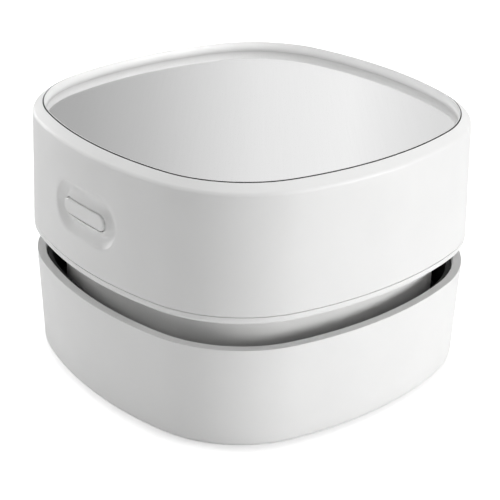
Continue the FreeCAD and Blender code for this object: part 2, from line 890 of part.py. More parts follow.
def make_head_base():
    body = new_body("head_base")
    pad(body, outline(body, lip_bottom, -S.upper_flare), S.lip_height)
    lip_edges = flat_edges(body, lip_bottom, half_across / 2, corner_reach + S.upper_flare)
    fillet(body, lip_edges, S.lip_round)
    spigot = S.upper_wall + S.fit_clearance
    pad(body, outline(body, seam, spigot), S.spigot_height)
    hollow = outline(body, seam + S.spigot_height, spigot + S.spigot_wall)
    pocket(body, hollow, S.spigot_height)
    window = circles(body, lip_bottom, (S.motor_window, 0, 0))
    pocket(body, window, S.lip_height, upward=True)
    hole = S.case_screw_radius + S.thread_clearance
    pocket(body, dots(body, lip_bottom, hole, corners_of(tower_place)), S.lip_height, upward=True)
    rail_top = seam + S.rail_height
    low = board_back - S.rail_width
    high = board_front + S.rail_width
    for side in (1, -1):
        inner = (S.board_half_width - S.rail_grip) * side
        outer = (S.board_half_width + S.rail_width) * side
        left, right = (inner, outer) if side > 0 else (outer, inner)
        pad(body, rectangle(body, "XY_Plane", seam, left, right, -high, -low), rail_top - seam)
    groove_edge = S.board_half_width + S.fit_clearance
    groove_front = board_front + S.seat_clearance
    groove_back = board_back - S.seat_clearance
    groove = rectangle(
        body, "XY_Plane", rail_top, -groove_edge, groove_edge, -groove_front, -groove_back
    )
    pocket(body, groove, S.rail_height)
    post = S.charge_board_width / 2 - S.rail_width
    half = S.rail_width / 2
    for side in (1, -1):
        for depth in (S.rail_width, S.charge_board_length - S.rail_width):
            x = post * side
            y = charge_board_back - depth
            foot = rectangle(body, "XY_Plane", seam, x - half, x + half, y - half, y + half)
            pad(body, foot, S.charge_standoff)


# ---------------------------------------------------------------- neck and fan


def make_neck_housing():
    body = new_body("neck_housing")
    height = lip_bottom - neck_bottom
    pad(body, outline(body, neck_bottom, S.neck_inset), height)
    pocket(body, outline(body, lip_bottom, neck_inner), lip_bottom - fan_plate_top)
    chamber = outline(body, neck_bottom, neck_inner)
    pocket(body, chamber, fan_plate_bottom - neck_bottom, upward=True)
    towers = dots(body, fan_plate_top, S.tower_radius, corners_of(tower_place))
    pad(body, towers, lip_bottom - fan_plate_top)
    bosses = dots(body, cover_top, S.cover_boss_radius, sides_of(cover_boss_place))
    pad(body, bosses, fan_plate_bottom - cover_top)
    bore = circles(body, fan_plate_bottom, (S.bush_radius + S.fit_clearance, 0, 0))
    pocket(body, bore, S.fan_plate_thick, upward=True)
    screw_seat(
        body,
        fan_plate_bottom,
        S.case_screw_radius,
        S.case_screw_head,
        lip_bottom - fan_plate_bottom,
        corners_of(tower_place),
    )
    screw_seat(
        body,
        fan_plate_bottom,
        S.motor_screw_radius,
        S.motor_screw_head,
        S.fan_plate_thick,
        [(S.motor_screw_spread, 0), (-S.motor_screw_spread, 0)],
    )
    pilot = S.small_screw_radius + S.thread_clearance
    depth = S.cover_screw_length - S.cover_thick + S.fit_clearance
    pocket(body, dots(body, cover_top, pilot, sides_of(cover_boss_place)), depth, upward=True)
    cut_vents(body)


def cut_vents(body):
    """Rows of upright vents through the neck's four sides, below the fan plate."""
    low = cover_top + S.vent_edge
    high = low + S.vent_height
    outside = half_across - S.neck_inset / 2
    inside = at_side(neck_inner) - S.neck_wall
    middle = (VENTS - 1) / 2
    for role, facing in (("XZ_Plane", 1), ("XZ_Plane", -1), ("YZ_Plane", 1), ("YZ_Plane", -1)):
        sketch = new_sketch(body, role, outside * facing)
        for index in range(VENTS):
            centre = S.vent_pitch * (index - middle)
            left = centre - S.vent_width / 2
            right = centre + S.vent_width / 2
            if index == middle:
                continue
            add_slot(sketch, left, right, low, high)
        pocket(body, sketch, outside - inside, upward=facing < 0)


def add_slot(sketch, left, right, low, high):
    """One more rectangle in a sketch that may already hold some."""
    first = sketch.GeometryCount
    corners = [(left, low), (right, low), (right, high), (left, high)]
    spots = [Vector(x.value, y.value, 0) for x, y in corners]
    for index in range(4):
        sketch.addGeometry(Part.LineSegment(spots[index], spots[(index + 1) % 4]))
    for index in range(4):
        this = first + index
        following = first + (index + 1) % 4
        sketch.addConstraint(Sketcher.Constraint("Coincident", this, END, following, START))
        kind = "Horizontal" if index % 2 == 0 else "Vertical"
        sketch.addConstraint(Sketcher.Constraint(kind, this))
    pin_point(sketch, first, START, left, low)
    pin_point(sketch, first + 2, START, right, high)


def make_impeller_cover():
    body = new_body("impeller_cover")
    pad(body, outline(body, neck_bottom, neck_inner + S.fit_clearance), S.cover_thick)
    lead_ring = circles(body, cover_top, (S.eye_radius + S.cover_thick, 0, 0))
    pad(body, lead_ring, S.fan_bottom_gap / 2)
    eye_depth = S.cover_thick + S.fan_bottom_gap / 2
    pocket(body, circles(body, neck_bottom, (S.eye_radius, 0, 0)), eye_depth, upward=True)
    screw_seat(
        body,
        neck_bottom,
        S.small_screw_radius,
        S.small_screw_head,
        S.cover_thick,
        sides_of(cover_boss_place),
    )


def make_impeller():
    """A backplate with curved blades under it, on a hub that grips the motor shaft."""
    body = new_body("impeller")
    pad(body, circles(body, fan_disc_bottom, (fan_radius, 0, 0)), S.fan_disc_thick)
    hub = circles(body, fan_disc_bottom, (S.fan_hub_radius, 0, 0))
    pad(body, hub, fan_disc_bottom - fan_bottom, downward=True)
    blade = blade_sketch(body)
    first = pad(body, blade, fan_disc_bottom - fan_bottom, downward=True)
    around(body, first, BLADES)
    bore = circles(body, fan_disc_top, (S.shaft_radius, 0, 0))
    pocket(body, bore, fan_disc_top - fan_bottom)


def blade_sketch(body):
    """One blade between two concentric arcs, from inside the eye to the disc's edge."""
    sketch = new_sketch(body, "XY_Plane", fan_disc_bottom)
    inner_reach = S.eye_radius - S.blade_thick * 2
    outer_reach = fan_radius - S.blade_thick / 2
    centre_x = fan_radius / 2
    centre_y = S.blade_curve / 2
    outer_arc = S.blade_curve + S.blade_thick
    arcs = []
    for radius in (S.blade_curve, outer_arc):
        angles = []
        for reach in (inner_reach, outer_reach):
            angles.append(meeting_angle(centre_x.value, centre_y.value, radius.value, reach.value))
        arcs.append(angles)
    centre = Vector(centre_x.value, centre_y.value, 0)
    for radius, (near, far) in zip((S.blade_curve, outer_arc), arcs):
        circle = Part.Circle(centre, Vector(0, 0, 1), radius.value)
        sketch.addGeometry(Part.ArcOfCircle(circle, near, far))
    near_ends = [sketch.getPoint(index, START) for index in (0, 1)]
    far_ends = [sketch.getPoint(index, END) for index in (0, 1)]
    sketch.addGeometry(Part.LineSegment(near_ends[0], near_ends[1]))
    sketch.addGeometry(Part.LineSegment(far_ends[0], far_ends[1]))
    for line, point in ((2, START), (3, END)):
        sketch.addConstraint(Sketcher.Constraint("Coincident", line, START, 0, point))
        sketch.addConstraint(Sketcher.Constraint("Coincident", line, END, 1, point))
    sketch.addConstraint(Sketcher.Constraint("Coincident", 0, CENTRE, 1, CENTRE))
    pin_point(sketch, 0, CENTRE, centre_x, centre_y)
    drive(sketch, "inner_arc", S.blade_curve, "Radius", 0)
    drive(sketch, "outer_arc", outer_arc, "Radius", 1)
    for index in (0, 1):
        drive(sketch, f"near{index}", inner_reach, "Distance", AXIS_X, START, index, START)
        drive(sketch, f"far{index}", outer_reach, "Distance", AXIS_X, START, index, END)
    return sketch


def meeting_angle(centre_x, centre_y, radius, reach):
    """Angle, seen from the arc's centre, of its lower crossing with a circle about the axis."""
    span = math.hypot(centre_x, centre_y)
    towards = math.atan2(-centre_y, -centre_x)
    cosine = (span * span + radius * radius - reach * reach) / (2 * span * radius)
    return (towards + math.acos(cosine)) % (2 * math.pi)


# ---------------------------------------------------------------- motor


def make_motor():
    make_can()
    make_motor_cap()
    make_magnets()
    make_bushes()
    make_rotor()
    make_terminals()


def make_can():
    body = new_body("motor_can")
    pad(body, circles(body, fan_plate_top, (S.motor_radius, 0, 0)), S.can_length)
    inside = S.motor_radius - S.can_wall
    pocket(body, circles(body, can_top, (inside, 0, 0)), S.can_length - S.can_wall)
    bush = circles(body, fan_plate_top, (S.bush_radius, 0, 0))
    pocket(body, bush, S.can_wall, upward=True)
    pilot = S.motor_screw_radius + S.thread_clearance
    places = [(pilot, S.motor_screw_spread, 0), (pilot, -S.motor_screw_spread, 0)]
    pocket(body, circles(body, fan_plate_top, *places), S.can_wall, upward=True)


def make_motor_cap():
    body = new_body("motor_cap")
    pad(body, circles(body, can_top, (S.motor_radius, 0, 0)), S.motor_cap_thick)
    inside = S.motor_radius - S.can_wall * 2
    room = circles(body, can_top, (inside, 0, 0))
    pocket(body, room, S.motor_cap_thick - S.can_wall - S.bush_length / 2, upward=True)
    bore = circles(body, can_top, (S.bush_radius, 0, 0))
    pocket(body, bore, S.motor_cap_thick, upward=True)


def make_magnets():
    outer_radius = S.motor_radius - S.can_wall
    inner_radius = outer_radius - S.magnet_thick
    level = fan_plate_top + S.can_wall + (S.can_length - S.can_wall - S.magnet_length) / 2
    arcs = []
    for name, middle in (("east", 0), ("west", HALF_TURN)):
        outer = cylinder("magnet_" + name, outer_radius, S.magnet_length, z=level)
        bind(outer, "Angle", S.magnet_span)
        start = middle - S.magnet_span.value / 2
        outer.Placement.Rotation = Rotation(Vector(0, 0, 1), start)
        arcs.append(outer)
    both = fuse("magnet_pair", *arcs)
    bore = cylinder("magnet_bore", inner_radius, S.magnet_length, z=level)
    keep(cut("magnets", both, bore), "motor_magnets")


def make_bushes():
    low = fan_plate_top - S.bush_proud
    high = motor_top - S.bush_length
    bore = S.shaft_radius + S.running_clearance
    rings = []
    for name, level in (("front", low), ("rear", high)):
        outer = cylinder(f"bush_{name}", S.bush_radius, S.bush_length, z=level)
        inner = cylinder(f"bush_{name}_bore", bore, S.bush_length, z=level)
        rings.append(cut(f"bush_{name}_ring", outer, inner))
    keep(fuse("motor_bushes", *rings), "motor_bushes")


def make_rotor():
    shaft_top = motor_top - S.fit_clearance
    shaft = cylinder("motor_shaft", S.shaft_radius, shaft_top - fan_bottom, z=fan_bottom)
    keep(shaft, "motor_shaft")
    body = new_body("armature")
    radius = S.motor_radius - S.can_wall - S.magnet_thick - S.air_gap
    level = fan_plate_top + S.can_wall + (S.can_length - S.can_wall - S.armature_length) / 2
    pad(body, circles(body, level, (radius, 0, 0)), S.armature_length)
    half = S.armature_slot / 2
    top = level + S.armature_length
    slot = rectangle(body, "XY_Plane", top, S.commutator_radius, S.motor_radius, -half, half)
    first = pocket(body, slot, S.armature_length)
    around(body, first, ARMATURE_POLES)
    bore = circles(body, top, (S.shaft_radius, 0, 0))
    pocket(body, bore, S.armature_length)
    ring = cylinder("commutator_ring", S.commutator_radius, S.commutator_length, z=top)
    hole = cylinder("commutator_bore", S.shaft_radius, S.commutator_length, z=top)
    keep(cut("commutator", ring, hole), "commutator")


def make_terminals():
    tabs = []
    for name, side in (("plus", 1), ("minus", -1)):
        x = S.terminal_spread * side
        low = (x - S.terminal_thick / 2, -(S.terminal_width / 2), motor_top)
        high = (x + S.terminal_thick / 2, S.terminal_width / 2, motor_top + S.terminal_height)
        tabs.append(block(f"terminal_{name}", low, high))
    keep(fuse("motor_terminals", *tabs), "motor_terminals")


# ---------------------------------------------------------------- cell, boards and button


def make_cell():
    half = S.cell_length / 2
    cell = cylinder("battery_cell", S.cell_radius, S.cell_length, -half, cell_y, cell_level)
    cell.Placement.Rotation = Rotation(Vector(0, 1, 0), QUARTER_TURN)
    keep(cell, "battery_cell")
    ends = []
    for name, start in (("plus", half), ("minus", -half - S.cell_end_height)):
        end = cylinder(
            f"cell_end_{name}", S.cell_end_radius, S.cell_end_height, start, cell_y, cell_level
        )
        end.Placement.Rotation = Rotation(Vector(0, 1, 0), QUARTER_TURN)
        ends.append(end)
    keep(fuse("battery_ends", *ends), "battery_ends")
    half = S.cradle_length / 2
    reach = S.cell_radius + S.cradle_wall
    low = (-half, cell_y - reach, seam)
    high = (half, cell_y + reach, cell_level)
    trough = block("cradle_block", low, high)
    bed_radius = S.cell_radius + S.seat_clearance
    bed = cylinder("cradle_bed", bed_radius, S.cradle_length, -half, cell_y, cell_level)
    bed.Placement.Rotation = Rotation(Vector(0, 1, 0), QUARTER_TURN)
    keep(cut("cradle", trough, bed), "battery_cradle")


def make_control_board():
    board_top = deck_bottom - S.board_top_gap
    half = S.board_half_width
    board = block("control_board", (-half, -board_front, seam), (half, -board_back, board_top))
    keep(board, "control_board")
    body = new_body("switch_body")
    side = S.switch_side / 2
    low, high = button_level - side, button_level + side
    square = rectangle(body, "XZ_Plane", board_front, -side, side, low, high)
    pad(body, square, S.switch_depth)
    hole_radius = S.plunger_radius + S.running_clearance
    hole = circles(body, switch_front, (hole_radius, 0, button_level), role="XZ_Plane")
    pocket(body, hole, S.plunger_inside + S.plunger_travel_room)
    plunger = new_body("switch_plunger")
    disc = circles(plunger, plunger_tip, (S.plunger_radius, 0, button_level), role="XZ_Plane")
    pad(plunger, disc, S.plunger_proud + S.plunger_inside, downward=True)
    chips = []
    for name, x in (("driver", -1), ("charger", 1)):
        middle = S.board_half_width * x / 2
        level = button_level - S.switch_side / 2
        low = (middle - S.chip_side / 2, -board_back, level)
        high = (middle + S.chip_side / 2, S.chip_thick - board_back, level + S.chip_side)
        chips.append(block(f"chip_{name}", low, high))
    keep(fuse("board_chips", *chips), "board_chips")


def make_button():
    body = new_body("power_button")
    cap = stadium(body, "XZ_Plane", button_face, S.button_length, S.button_height, button_level)
    pad(body, cap, button_face - flange_front, downward=True)
    length = S.button_length + S.button_flange * 2
    height = S.button_height + S.button_flange * 2
    flange = stadium(body, "XZ_Plane", flange_front, length, height, button_level)
    pad(body, flange, S.button_flange_thick, downward=True)
    stem = (S.button_stem_radius, 0, button_level)
    pad(
        body,
        circles(body, flange_back, stem, role="XZ_Plane"),
        S.button_stem_length,
        downward=True,
    )


def make_charging():
    half = S.charge_board_width / 2
    front = charge_board_back - S.charge_board_length
    low = (-half, front, charge_board_bottom)
    high = (half, charge_board_back, charge_board_top)
    keep(block("charge_board", low, high), "charge_board")
    body = new_body("charge_inlet")
    shell = stadium(
        body, "XZ_Plane", -socket_mouth, S.socket_width, S.socket_height, socket_level
    )
    pad(body, shell, S.socket_length)
    wall = S.socket_wall * 2
    hollow = stadium(
        body,
        "XZ_Plane",
        -socket_mouth,
        S.socket_width - wall,
        S.socket_height - wall,
        socket_level,
    )
    pocket(body, hollow, S.socket_length - S.socket_wall, upward=True)
    back = socket_mouth - S.socket_length + S.socket_wall
    half_width, half_thick = S.tongue_width / 2, S.tongue_thick / 2
    low = (-half_width, back, socket_level - half_thick)
    high = (half_width, back + S.tongue_length, socket_level + half_thick)
    keep(block("inlet_tongue", low, high), "inlet_tongue")


def make_leads():
    """Leads between the motor, the boards and the cell, laid over the motor and the cell."""
    over = motor_top + S.terminal_height / 2
    x = S.terminal_spread
    drop = board_back - S.lead_bend * 2
    landing = deck_bottom - S.board_top_gap - S.lead_bend * 2
    start = -(S.terminal_width / 2)
    pairs = []
    for side in (1, -1):
        route = [
            (x * side, start, over),
            (x * side, -drop, over),
            (x * side, -drop, landing),
            (x * side, -board_back, landing),
        ]
        pairs.append(lead(route))
    group("motor_leads", pairs)
    end_x = S.cell_length / 2 + S.cell_end_height
    out = end_x + S.lead_bend + S.lead_radius * 2
    over_cell = cell_level + S.cell_radius + S.lead_radius + S.lead_gap
    near = S.charge_board_width / 4
    rise = charge_board_back - S.charge_board_length + S.lead_bend
    pairs = []
    for side in (1, -1):
        route = [
            (end_x * side, cell_y, cell_level),
            (out * side, cell_y, cell_level),
            (out * side, cell_y, over_cell),
            (near * side, cell_y, over_cell),
            (near * side, rise, over_cell),
            (near * side, rise, charge_board_top),
        ]
        pairs.append(lead(route))
    group("battery_leads", pairs)
    x = S.board_half_width - S.chip_side
    near = S.charge_board_width / 2 - S.lead_radius * 2
    pairs = []
    for side in (1, -1):
        route = [
            (near * side, rise, charge_board_top),
            (near * side, rise, over),
            (x * side, rise, over),
            (x * side, -drop, over),
            (x * side, -drop, landing),
            (x * side, -board_back, landing),
        ]
        pairs.append(lead(route))
    group("board_leads", pairs)


# ---------------------------------------------------------------- fasteners


def make_screws():
    small = (S.small_screw_radius, S.small_screw_head)
    base = screw(*small, S.base_screw_length)
    group("base_screws", copies(base, sides_of(base_screw_place), shell_bottom))
    cover = screw(*small, S.cover_screw_length)
    group("cover_screws", copies(cover, sides_of(cover_boss_place), neck_bottom))
    case = screw(S.case_screw_radius, S.case_screw_head, S.case_screw_length)
    group("case_screws", copies(case, corners_of(tower_place), fan_plate_bottom))
    motor = screw(S.motor_screw_radius, S.motor_screw_head, S.motor_screw_length)
    places = [(S.motor_screw_spread, 0), (-S.motor_screw_spread, 0)]
    group("motor_screws", copies(motor, places, fan_plate_bottom))


def main():
    for make in (
        make_lower_case,
        make_base_plate,
        make_brush,
        make_glide_feet,
        make_dust_cup,
        make_filter,
        make_upper_case,
        make_panel,
        make_head_base,
        make_neck_housing,
        make_impeller_cover,
        make_impeller,
        make_motor,
        make_cell,
        make_control_board,
        make_button,
        make_charging,
        make_leads,
        make_screws,
    ):
        make()
    doc.recompute()
    for item in doc.Objects:
        if "Invalid" in item.State or "Error" in item.State:
            raise RuntimeError(f"{item.Label} failed: {item.State}")
    for label, item in nodes.items():
        if item.Shape.isNull() or not item.Shape.isValid():
            raise RuntimeError(f"{label} has no valid shape")
    os.makedirs("parts", exist_ok=True)
    for label, item in nodes.items():
        item.Shape.exportStep(f"parts/{label}.step")
        box = item.Shape.BoundBox
        print(
            f"{label:18s} solids {len(item.Shape.Solids):3d}  "
            f"x {box.XMin:7.2f} {box.XMax:7.2f}  y {box.YMin:7.2f} {box.YMax:7.2f}  "
            f"z {box.ZMin:6.2f} {box.ZMax:6.2f}"
        )


main()
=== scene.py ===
import math

import bmesh
import bpy
from bpy.props import FloatProperty, FloatVectorProperty, IntProperty, PointerProperty
from mathutils import Matrix, Quaternion, Vector


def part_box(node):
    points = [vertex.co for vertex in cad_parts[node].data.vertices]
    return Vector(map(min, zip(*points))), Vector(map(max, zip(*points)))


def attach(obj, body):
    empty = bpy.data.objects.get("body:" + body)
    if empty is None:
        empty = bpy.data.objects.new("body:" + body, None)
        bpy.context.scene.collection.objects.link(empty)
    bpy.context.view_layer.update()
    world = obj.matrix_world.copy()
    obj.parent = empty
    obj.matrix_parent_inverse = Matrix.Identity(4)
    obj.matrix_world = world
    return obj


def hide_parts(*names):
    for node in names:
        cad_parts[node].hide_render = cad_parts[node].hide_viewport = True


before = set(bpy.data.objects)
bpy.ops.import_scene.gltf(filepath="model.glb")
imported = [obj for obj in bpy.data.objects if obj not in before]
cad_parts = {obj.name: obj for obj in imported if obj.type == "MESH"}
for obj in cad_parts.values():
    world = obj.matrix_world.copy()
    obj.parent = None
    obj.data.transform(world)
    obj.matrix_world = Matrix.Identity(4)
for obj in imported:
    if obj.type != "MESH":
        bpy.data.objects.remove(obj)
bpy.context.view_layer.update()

bl_info = {
    "name": "Desk Vacuum",
    "version": (1, 0, 0),
    "blender": (4, 5, 0),
    "location": "3D View > Sidebar > Desk Vacuum",
    "description": "Dresses a desktop mini vacuum cleaner: shells, panel, button and finishes",
    "category": "Add Mesh",
}

FULL_TURN = 2 * math.pi
QUARTER_TURN = math.pi / 2
Z_AXIS = (0, 0, 1)
WHITE = (1.0, 1.0, 1.0, 1.0)


# ---------------- sizes and colours


def length(name, description, default):
    return FloatProperty(
        name=name, description=description, default=default, unit="LENGTH", precision=5
    )


def colour(name, description, default):
    return FloatVectorProperty(
        name=name, description=description, default=default, subtype="COLOR", size=4, min=0, max=1
    )


class VacuumCaseSizes(bpy.types.PropertyGroup):
    """Outline and levels of the two case shells."""

    across: length("Across", "Width of the case between its flats", 0.088)
    side_radius: length("Side radius", "Radius of the bulged sides", 0.0845)
    corner_radius: length("Corner radius", "Radius of the round corners", 0.0275)
    seam: length("Seam", "Level of the head's seam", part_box("upper_case")[0].z)
    seam_flare: length("Seam flare", "How far the head stands out at its seam", 0.00085)
    shoulder: length("Shoulder", "Level where the crown's bevel starts", 0.0574)
    shoulder_inset: length("Shoulder inset", "Inset of the wall at the shoulder", 0.00015)
    crown: length("Crown", "Top of the head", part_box("upper_case")[1].z)
    crown_inset: length("Crown inset", "Inset of the bevel's upper edge", 0.00236)
    line_inset: length("Line inset", "Inset of the ridge line's inner edge", 0.00264)
    ridge_drop: length("Ridge drop", "Drop of the ridge line from its inner edge outwards", 0.00012)
    recess_inset: length("Recess inset", "Inset of the wall round the panel", 0.0028)
    deck_top: length("Deck", "Level that the panel's tape lies on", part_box("panel_tape")[0].z)
    deck_bottom: length("Deck underside", "Level under the deck", 0.0535)
    upper_wall: length("Upper wall", "Inset of the head's inner wall", 0.0017)
    foot: length("Foot", "Level of the lower case's underside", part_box("lower_case")[0].z)
    foot_inset: length("Foot inset", "Inset of the lower case at its foot", 0.0001)
    band: length("Foot band", "Height of the upright band above the foot", 0.002)
    rim: length("Rim", "Level of the lower case's rim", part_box("lower_case")[1].z)
    rim_flare: length("Rim flare", "How far the lower case stands out at its rim", 0.00055)
    cavity_inset: length("Cavity inset", "Inset of the lower case's inner wall", 0.00145)
    cavity_floor: length("Cavity floor", "Level of the lower case's floor", 0.004)
    seat_inset: length("Seat inset", "Inset of the base plate's seat", 0.006)
    seat_level: length("Seat level", "Level of the base plate's seat", 0.002)
    collar_hole: length("Collar hole", "Radius of the hole for the base plate's collar", 0.0171)


class VacuumHeadCoverSizes(bpy.types.PropertyGroup):
    """Cover that closes the head from below, with its lip, spigot, rails and posts."""

    bottom: length("Underside", "Level of the cover's underside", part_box("head_base")[0].z)
    lip_round: length("Lip round", "Radius of the lip's lower edge", 0.0008)
    joint_gap: length("Joint gap", "Height of the shadow gap under the head's shell", 0.0001)
    joint_depth: length("Joint depth", "Inset of the shadow gap's back", 0.0002)
    spigot_inset: length("Spigot inset", "Inset of the spigot that plugs into the shell", 0.0018)
    spigot_wall: length("Spigot wall", "Wall of the spigot", 0.0012)
    spigot_height: length("Spigot height", "Height of the spigot", 0.0025)
    motor_window: length("Motor window", "Radius of the hole for the motor", 0.013)
    rail_height: length("Rail height", "Height of the rails beside the control board", 0.005)
    rail_width: length("Rail width", "Width of the rails", 0.0024)
    rail_grip: length("Rail grip", "How far the rails reach over the board's edge", 0.0014)
    post_width: length("Post width", "Width of the posts under the charging board", 0.0024)


class VacuumPanelSizes(bpy.types.PropertyGroup):
    """Panel, the button in its dish and the charging socket's opening."""

    panel_inset: length("Panel inset", "Inset of the panel's edge", 0.00295)
    panel_back: length("Panel back", "Level of the panel's underside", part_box("top_panel")[0].z)
    panel_face: length("Panel face", "Level of the panel's face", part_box("top_panel")[1].z)
    button_level: length("Button level", "Height of the button's middle", 0.0440)
    button_length: length("Button length", "Length of the button's cap", 0.0144)
    button_height: length("Button height", "Height of the button's cap", 0.0034)
    button_gap: length("Button gap", "Gap round the button's cap", 0.00025)
    dish_length: length("Dish length", "Length of the dish round the button", 0.02)
    dish_height: length("Dish height", "Height of the dish round the button", 0.0097)
    dish_rise: length("Dish rise", "Rise of the dish's floor towards the button", 0.00122)
    dish_depth: length("Dish depth", "Depth of the dish", 0.00145)
    socket_level: length("Socket level", "Height of the charging socket's middle", 0.03623)
    socket_length: length("Socket length", "Length of the socket's opening", 0.00934)
    socket_height: length("Socket height", "Height of the socket's opening", 0.00366)


class VacuumBrushSizes(bpy.types.PropertyGroup):
    """Brush of tufts round the mouth."""

    tufts: IntProperty(name="Tufts", description="Number of tufts", default=36, min=3)
    fibres: IntProperty(name="Fibres", description="Fibres in each tuft", default=14, min=1)
    radius: length("Ring radius", "Radius of the ring of tufts", 0.0141)
    tuft_radius: length("Tuft radius", "Radius of each tuft at its root", 0.0003)
    spread: length("Spread", "How far the fibres' tips fan out", 0.00014)
    fibre_radius: length("Fibre radius", "Radius of a fibre", 0.00007)


class VacuumColours(bpy.types.PropertyGroup):
    """Colours of what shows."""

    case: colour("Case", "White of the two shells and the button", (0.86, 0.86, 0.855, 1))
    neck: colour("Neck", "Light grey of the neck", (0.86, 0.86, 0.85, 1))
    # Painted shade: a near-black line on the white ridge's land stands in for the shadowed inner
    # edge of the recess. The ridge has no dark line of its own.
    ridge: colour("Painted ridge shade", "Dark line along the ridge round the panel", (0.02, 0.02, 0.02, 1))
    panel: colour("Panel", "Silver of the top panel", (0.8, 0.8, 0.8, 1))
    cup: colour("Cup", "Black of the dust cup", (0.012, 0.012, 0.013, 1))
    floor: colour("Floor", "Floor and backdrop", (0.9, 0.9, 0.9, 1))


def case_sizes():
    return bpy.context.scene.vacuum_case


def panel_sizes():
    return bpy.context.scene.vacuum_panel


def colours():
    return bpy.context.scene.vacuum_colours


# ---------------- mesh helpers

SIDE_STEPS = 48
CORNER_STEPS = 32
PILL_SEGMENTS = 96
MERGE = 5e-6


def outline_arcs(size):
    """How far the side arcs' centres lie behind the middle, how far out the corner arcs'
    centres lie along both axes, and half the angle of a side arc."""
    back = size.side_radius - size.across / 2
    gap = size.side_radius - size.corner_radius
    out = (math.sqrt(2 * gap * gap - back * back) - back) / 2
    return back, out, math.atan2(out, out + back)


def case_ring(bm, inset, level):
    """Edges of the case outline at an inset and level, as eight tangent arcs spun on.

    Each vertex keeps the direction that points straight out of the outline."""
    size = case_sizes()
    outward = bm.verts.layers.float_vector.new("outward")
    back, out, half = outline_arcs(size)
    side = size.side_radius - inset
    start = Vector((side * math.cos(half) - back, -side * math.sin(half), level))
    first = bmesh.ops.create_vert(bm, co=start)["vert"][0]
    first[outward] = (math.cos(half), -math.sin(half), 0)
    made = [first]
    for turn in range(4):
        facing = turn * QUARTER_TURN
        middle = Vector((-back * math.cos(facing), -back * math.sin(facing), level))
        made += swing(bm, made[-1], middle, 2 * half, SIDE_STEPS, outward)
        diagonal = facing + QUARTER_TURN / 2
        reach = out * math.sqrt(2)
        middle = Vector((reach * math.cos(diagonal), reach * math.sin(diagonal), level))
        made += swing(bm, made[-1], middle, QUARTER_TURN - 2 * half, CORNER_STEPS, outward)
    bmesh.ops.weld_verts(bm, targetmap={made[-1]: first})
    return list({edge for vert in made[:-1] for edge in vert.link_edges})


def swing(bm, vert, middle, angle, steps, outward):
    """Spin a vertex about an upright axis; gives back the new vertices in order."""
    made = []
    for _ in range(steps):
        turned = bmesh.ops.spin(
            bm, geom=[vert], cent=middle, axis=Z_AXIS, angle=angle / steps, steps=1, use_merge=False
        )["geom_last"]
        vert = next(item for item in turned if isinstance(item, bmesh.types.BMVert))
        vert[outward] = (vert.co - middle).normalized()
        made.append(vert)
    return made


def extend(bm, loop, move):
    """Extrude a loop of edges and move each new vertex; gives back the new loop."""
    made = bmesh.ops.extrude_edge_only(bm, edges=loop)["geom"]
    fresh = {item for item in made if isinstance(item, bmesh.types.BMVert)}
    for vert in fresh:
        vert.co = move(vert)
    edges = [item for item in made if isinstance(item, bmesh.types.BMEdge)]
    return [edge for edge in edges if fresh.issuperset(edge.verts)]


def case_wall(bm, profile, closed=False):
    """Walls that follow the case outline through a profile of insets and levels.

    A profile entry is (inset, level), or ("hole", radius, level) for a round ring.
    Each vertex keeps the number of its entry, counted from 1."""
    loop = case_ring(bm, *profile[0])
    outward = bm.verts.layers.float_vector["outward"]
    entry_layer = bm.verts.layers.int.new("entry")
    for vert in bm.verts:
        vert[entry_layer] = 1
    size = case_sizes()
    steps = list(enumerate(profile, start=1))[1:]
    if closed:
        steps.append((1, profile[0]))
    for number, entry in steps:

        def move(vert):
            vert[entry_layer] = number
            if entry[0] == "hole":
                flat = Vector((vert.co.x, vert.co.y, 0)).normalized()
                return flat * entry[1] + Vector((0, 0, entry[2]))
            return outline_point(size, vert[outward], *entry)

        loop = extend(bm, loop, move)
    if closed:
        bmesh.ops.remove_doubles(bm, verts=bm.verts, dist=MERGE)


def wall_line(bm, number):
    """Edges of the loop made by the numbered entry of a wall's profile."""
    entry_layer = bm.verts.layers.int["entry"]
    return [
        edge
        for edge in bm.edges
        if edge.verts[0][entry_layer] == edge.verts[1][entry_layer] == number
    ]


def outline_point(size, outward, inset, level):
    """The point of the outline whose outward direction is given."""
    back, out, half = outline_arcs(size)
    facing = math.atan2(outward[1], outward[0])
    turn = round(facing / QUARTER_TURN)
    beside = turn * QUARTER_TURN
    if abs(facing - beside) <= half + MERGE:
        middle = Vector((-back * math.cos(beside), -back * math.sin(beside), level))
        radius = size.side_radius - inset
    else:
        middle = Vector((math.copysign(out, outward[0]), math.copysign(out, outward[1]), level))
        radius = size.corner_radius - inset
    return middle + Vector(outward) * radius


def pill_point(share, long, high):
    """x and z of a point of a pill's edge; share is (part of the quarter, side, rise)."""
    bow = high / 2
    straight = long / 2 - bow
    arc = bow * QUARTER_TURN
    run = share[0] * (arc + straight)
    if run < arc:
        angle = run / bow
        x, z = straight + bow * math.cos(angle), bow * math.sin(angle)
    else:
        x, z = straight - (run - arc), bow
    return x * share[1], z * share[2]


def cap(bm, ring):
    """Close a ring of edges with a face."""
    bmesh.ops.edgeloop_fill(bm, edges=ring)


def block(bm, corner, opposite):
    """A box between two corners."""
    corner, opposite = Vector(corner), Vector(opposite)
    stretch = opposite - corner
    stretch = Vector((abs(stretch.x), abs(stretch.y), abs(stretch.z)))
    place = Matrix.LocRotScale((corner + opposite) / 2, None, stretch)
    bmesh.ops.create_cube(bm, size=1.0, matrix=place)


def soften(bm, edges, width, segments):
    """Round the edges over."""
    bmesh.ops.bevel(
        bm,
        geom=edges,
        offset=width,
        offset_type="OFFSET",
        segments=segments,
        profile=0.5,
        affect="EDGES",
        material=-1,
        clamp_overlap=True,
    )


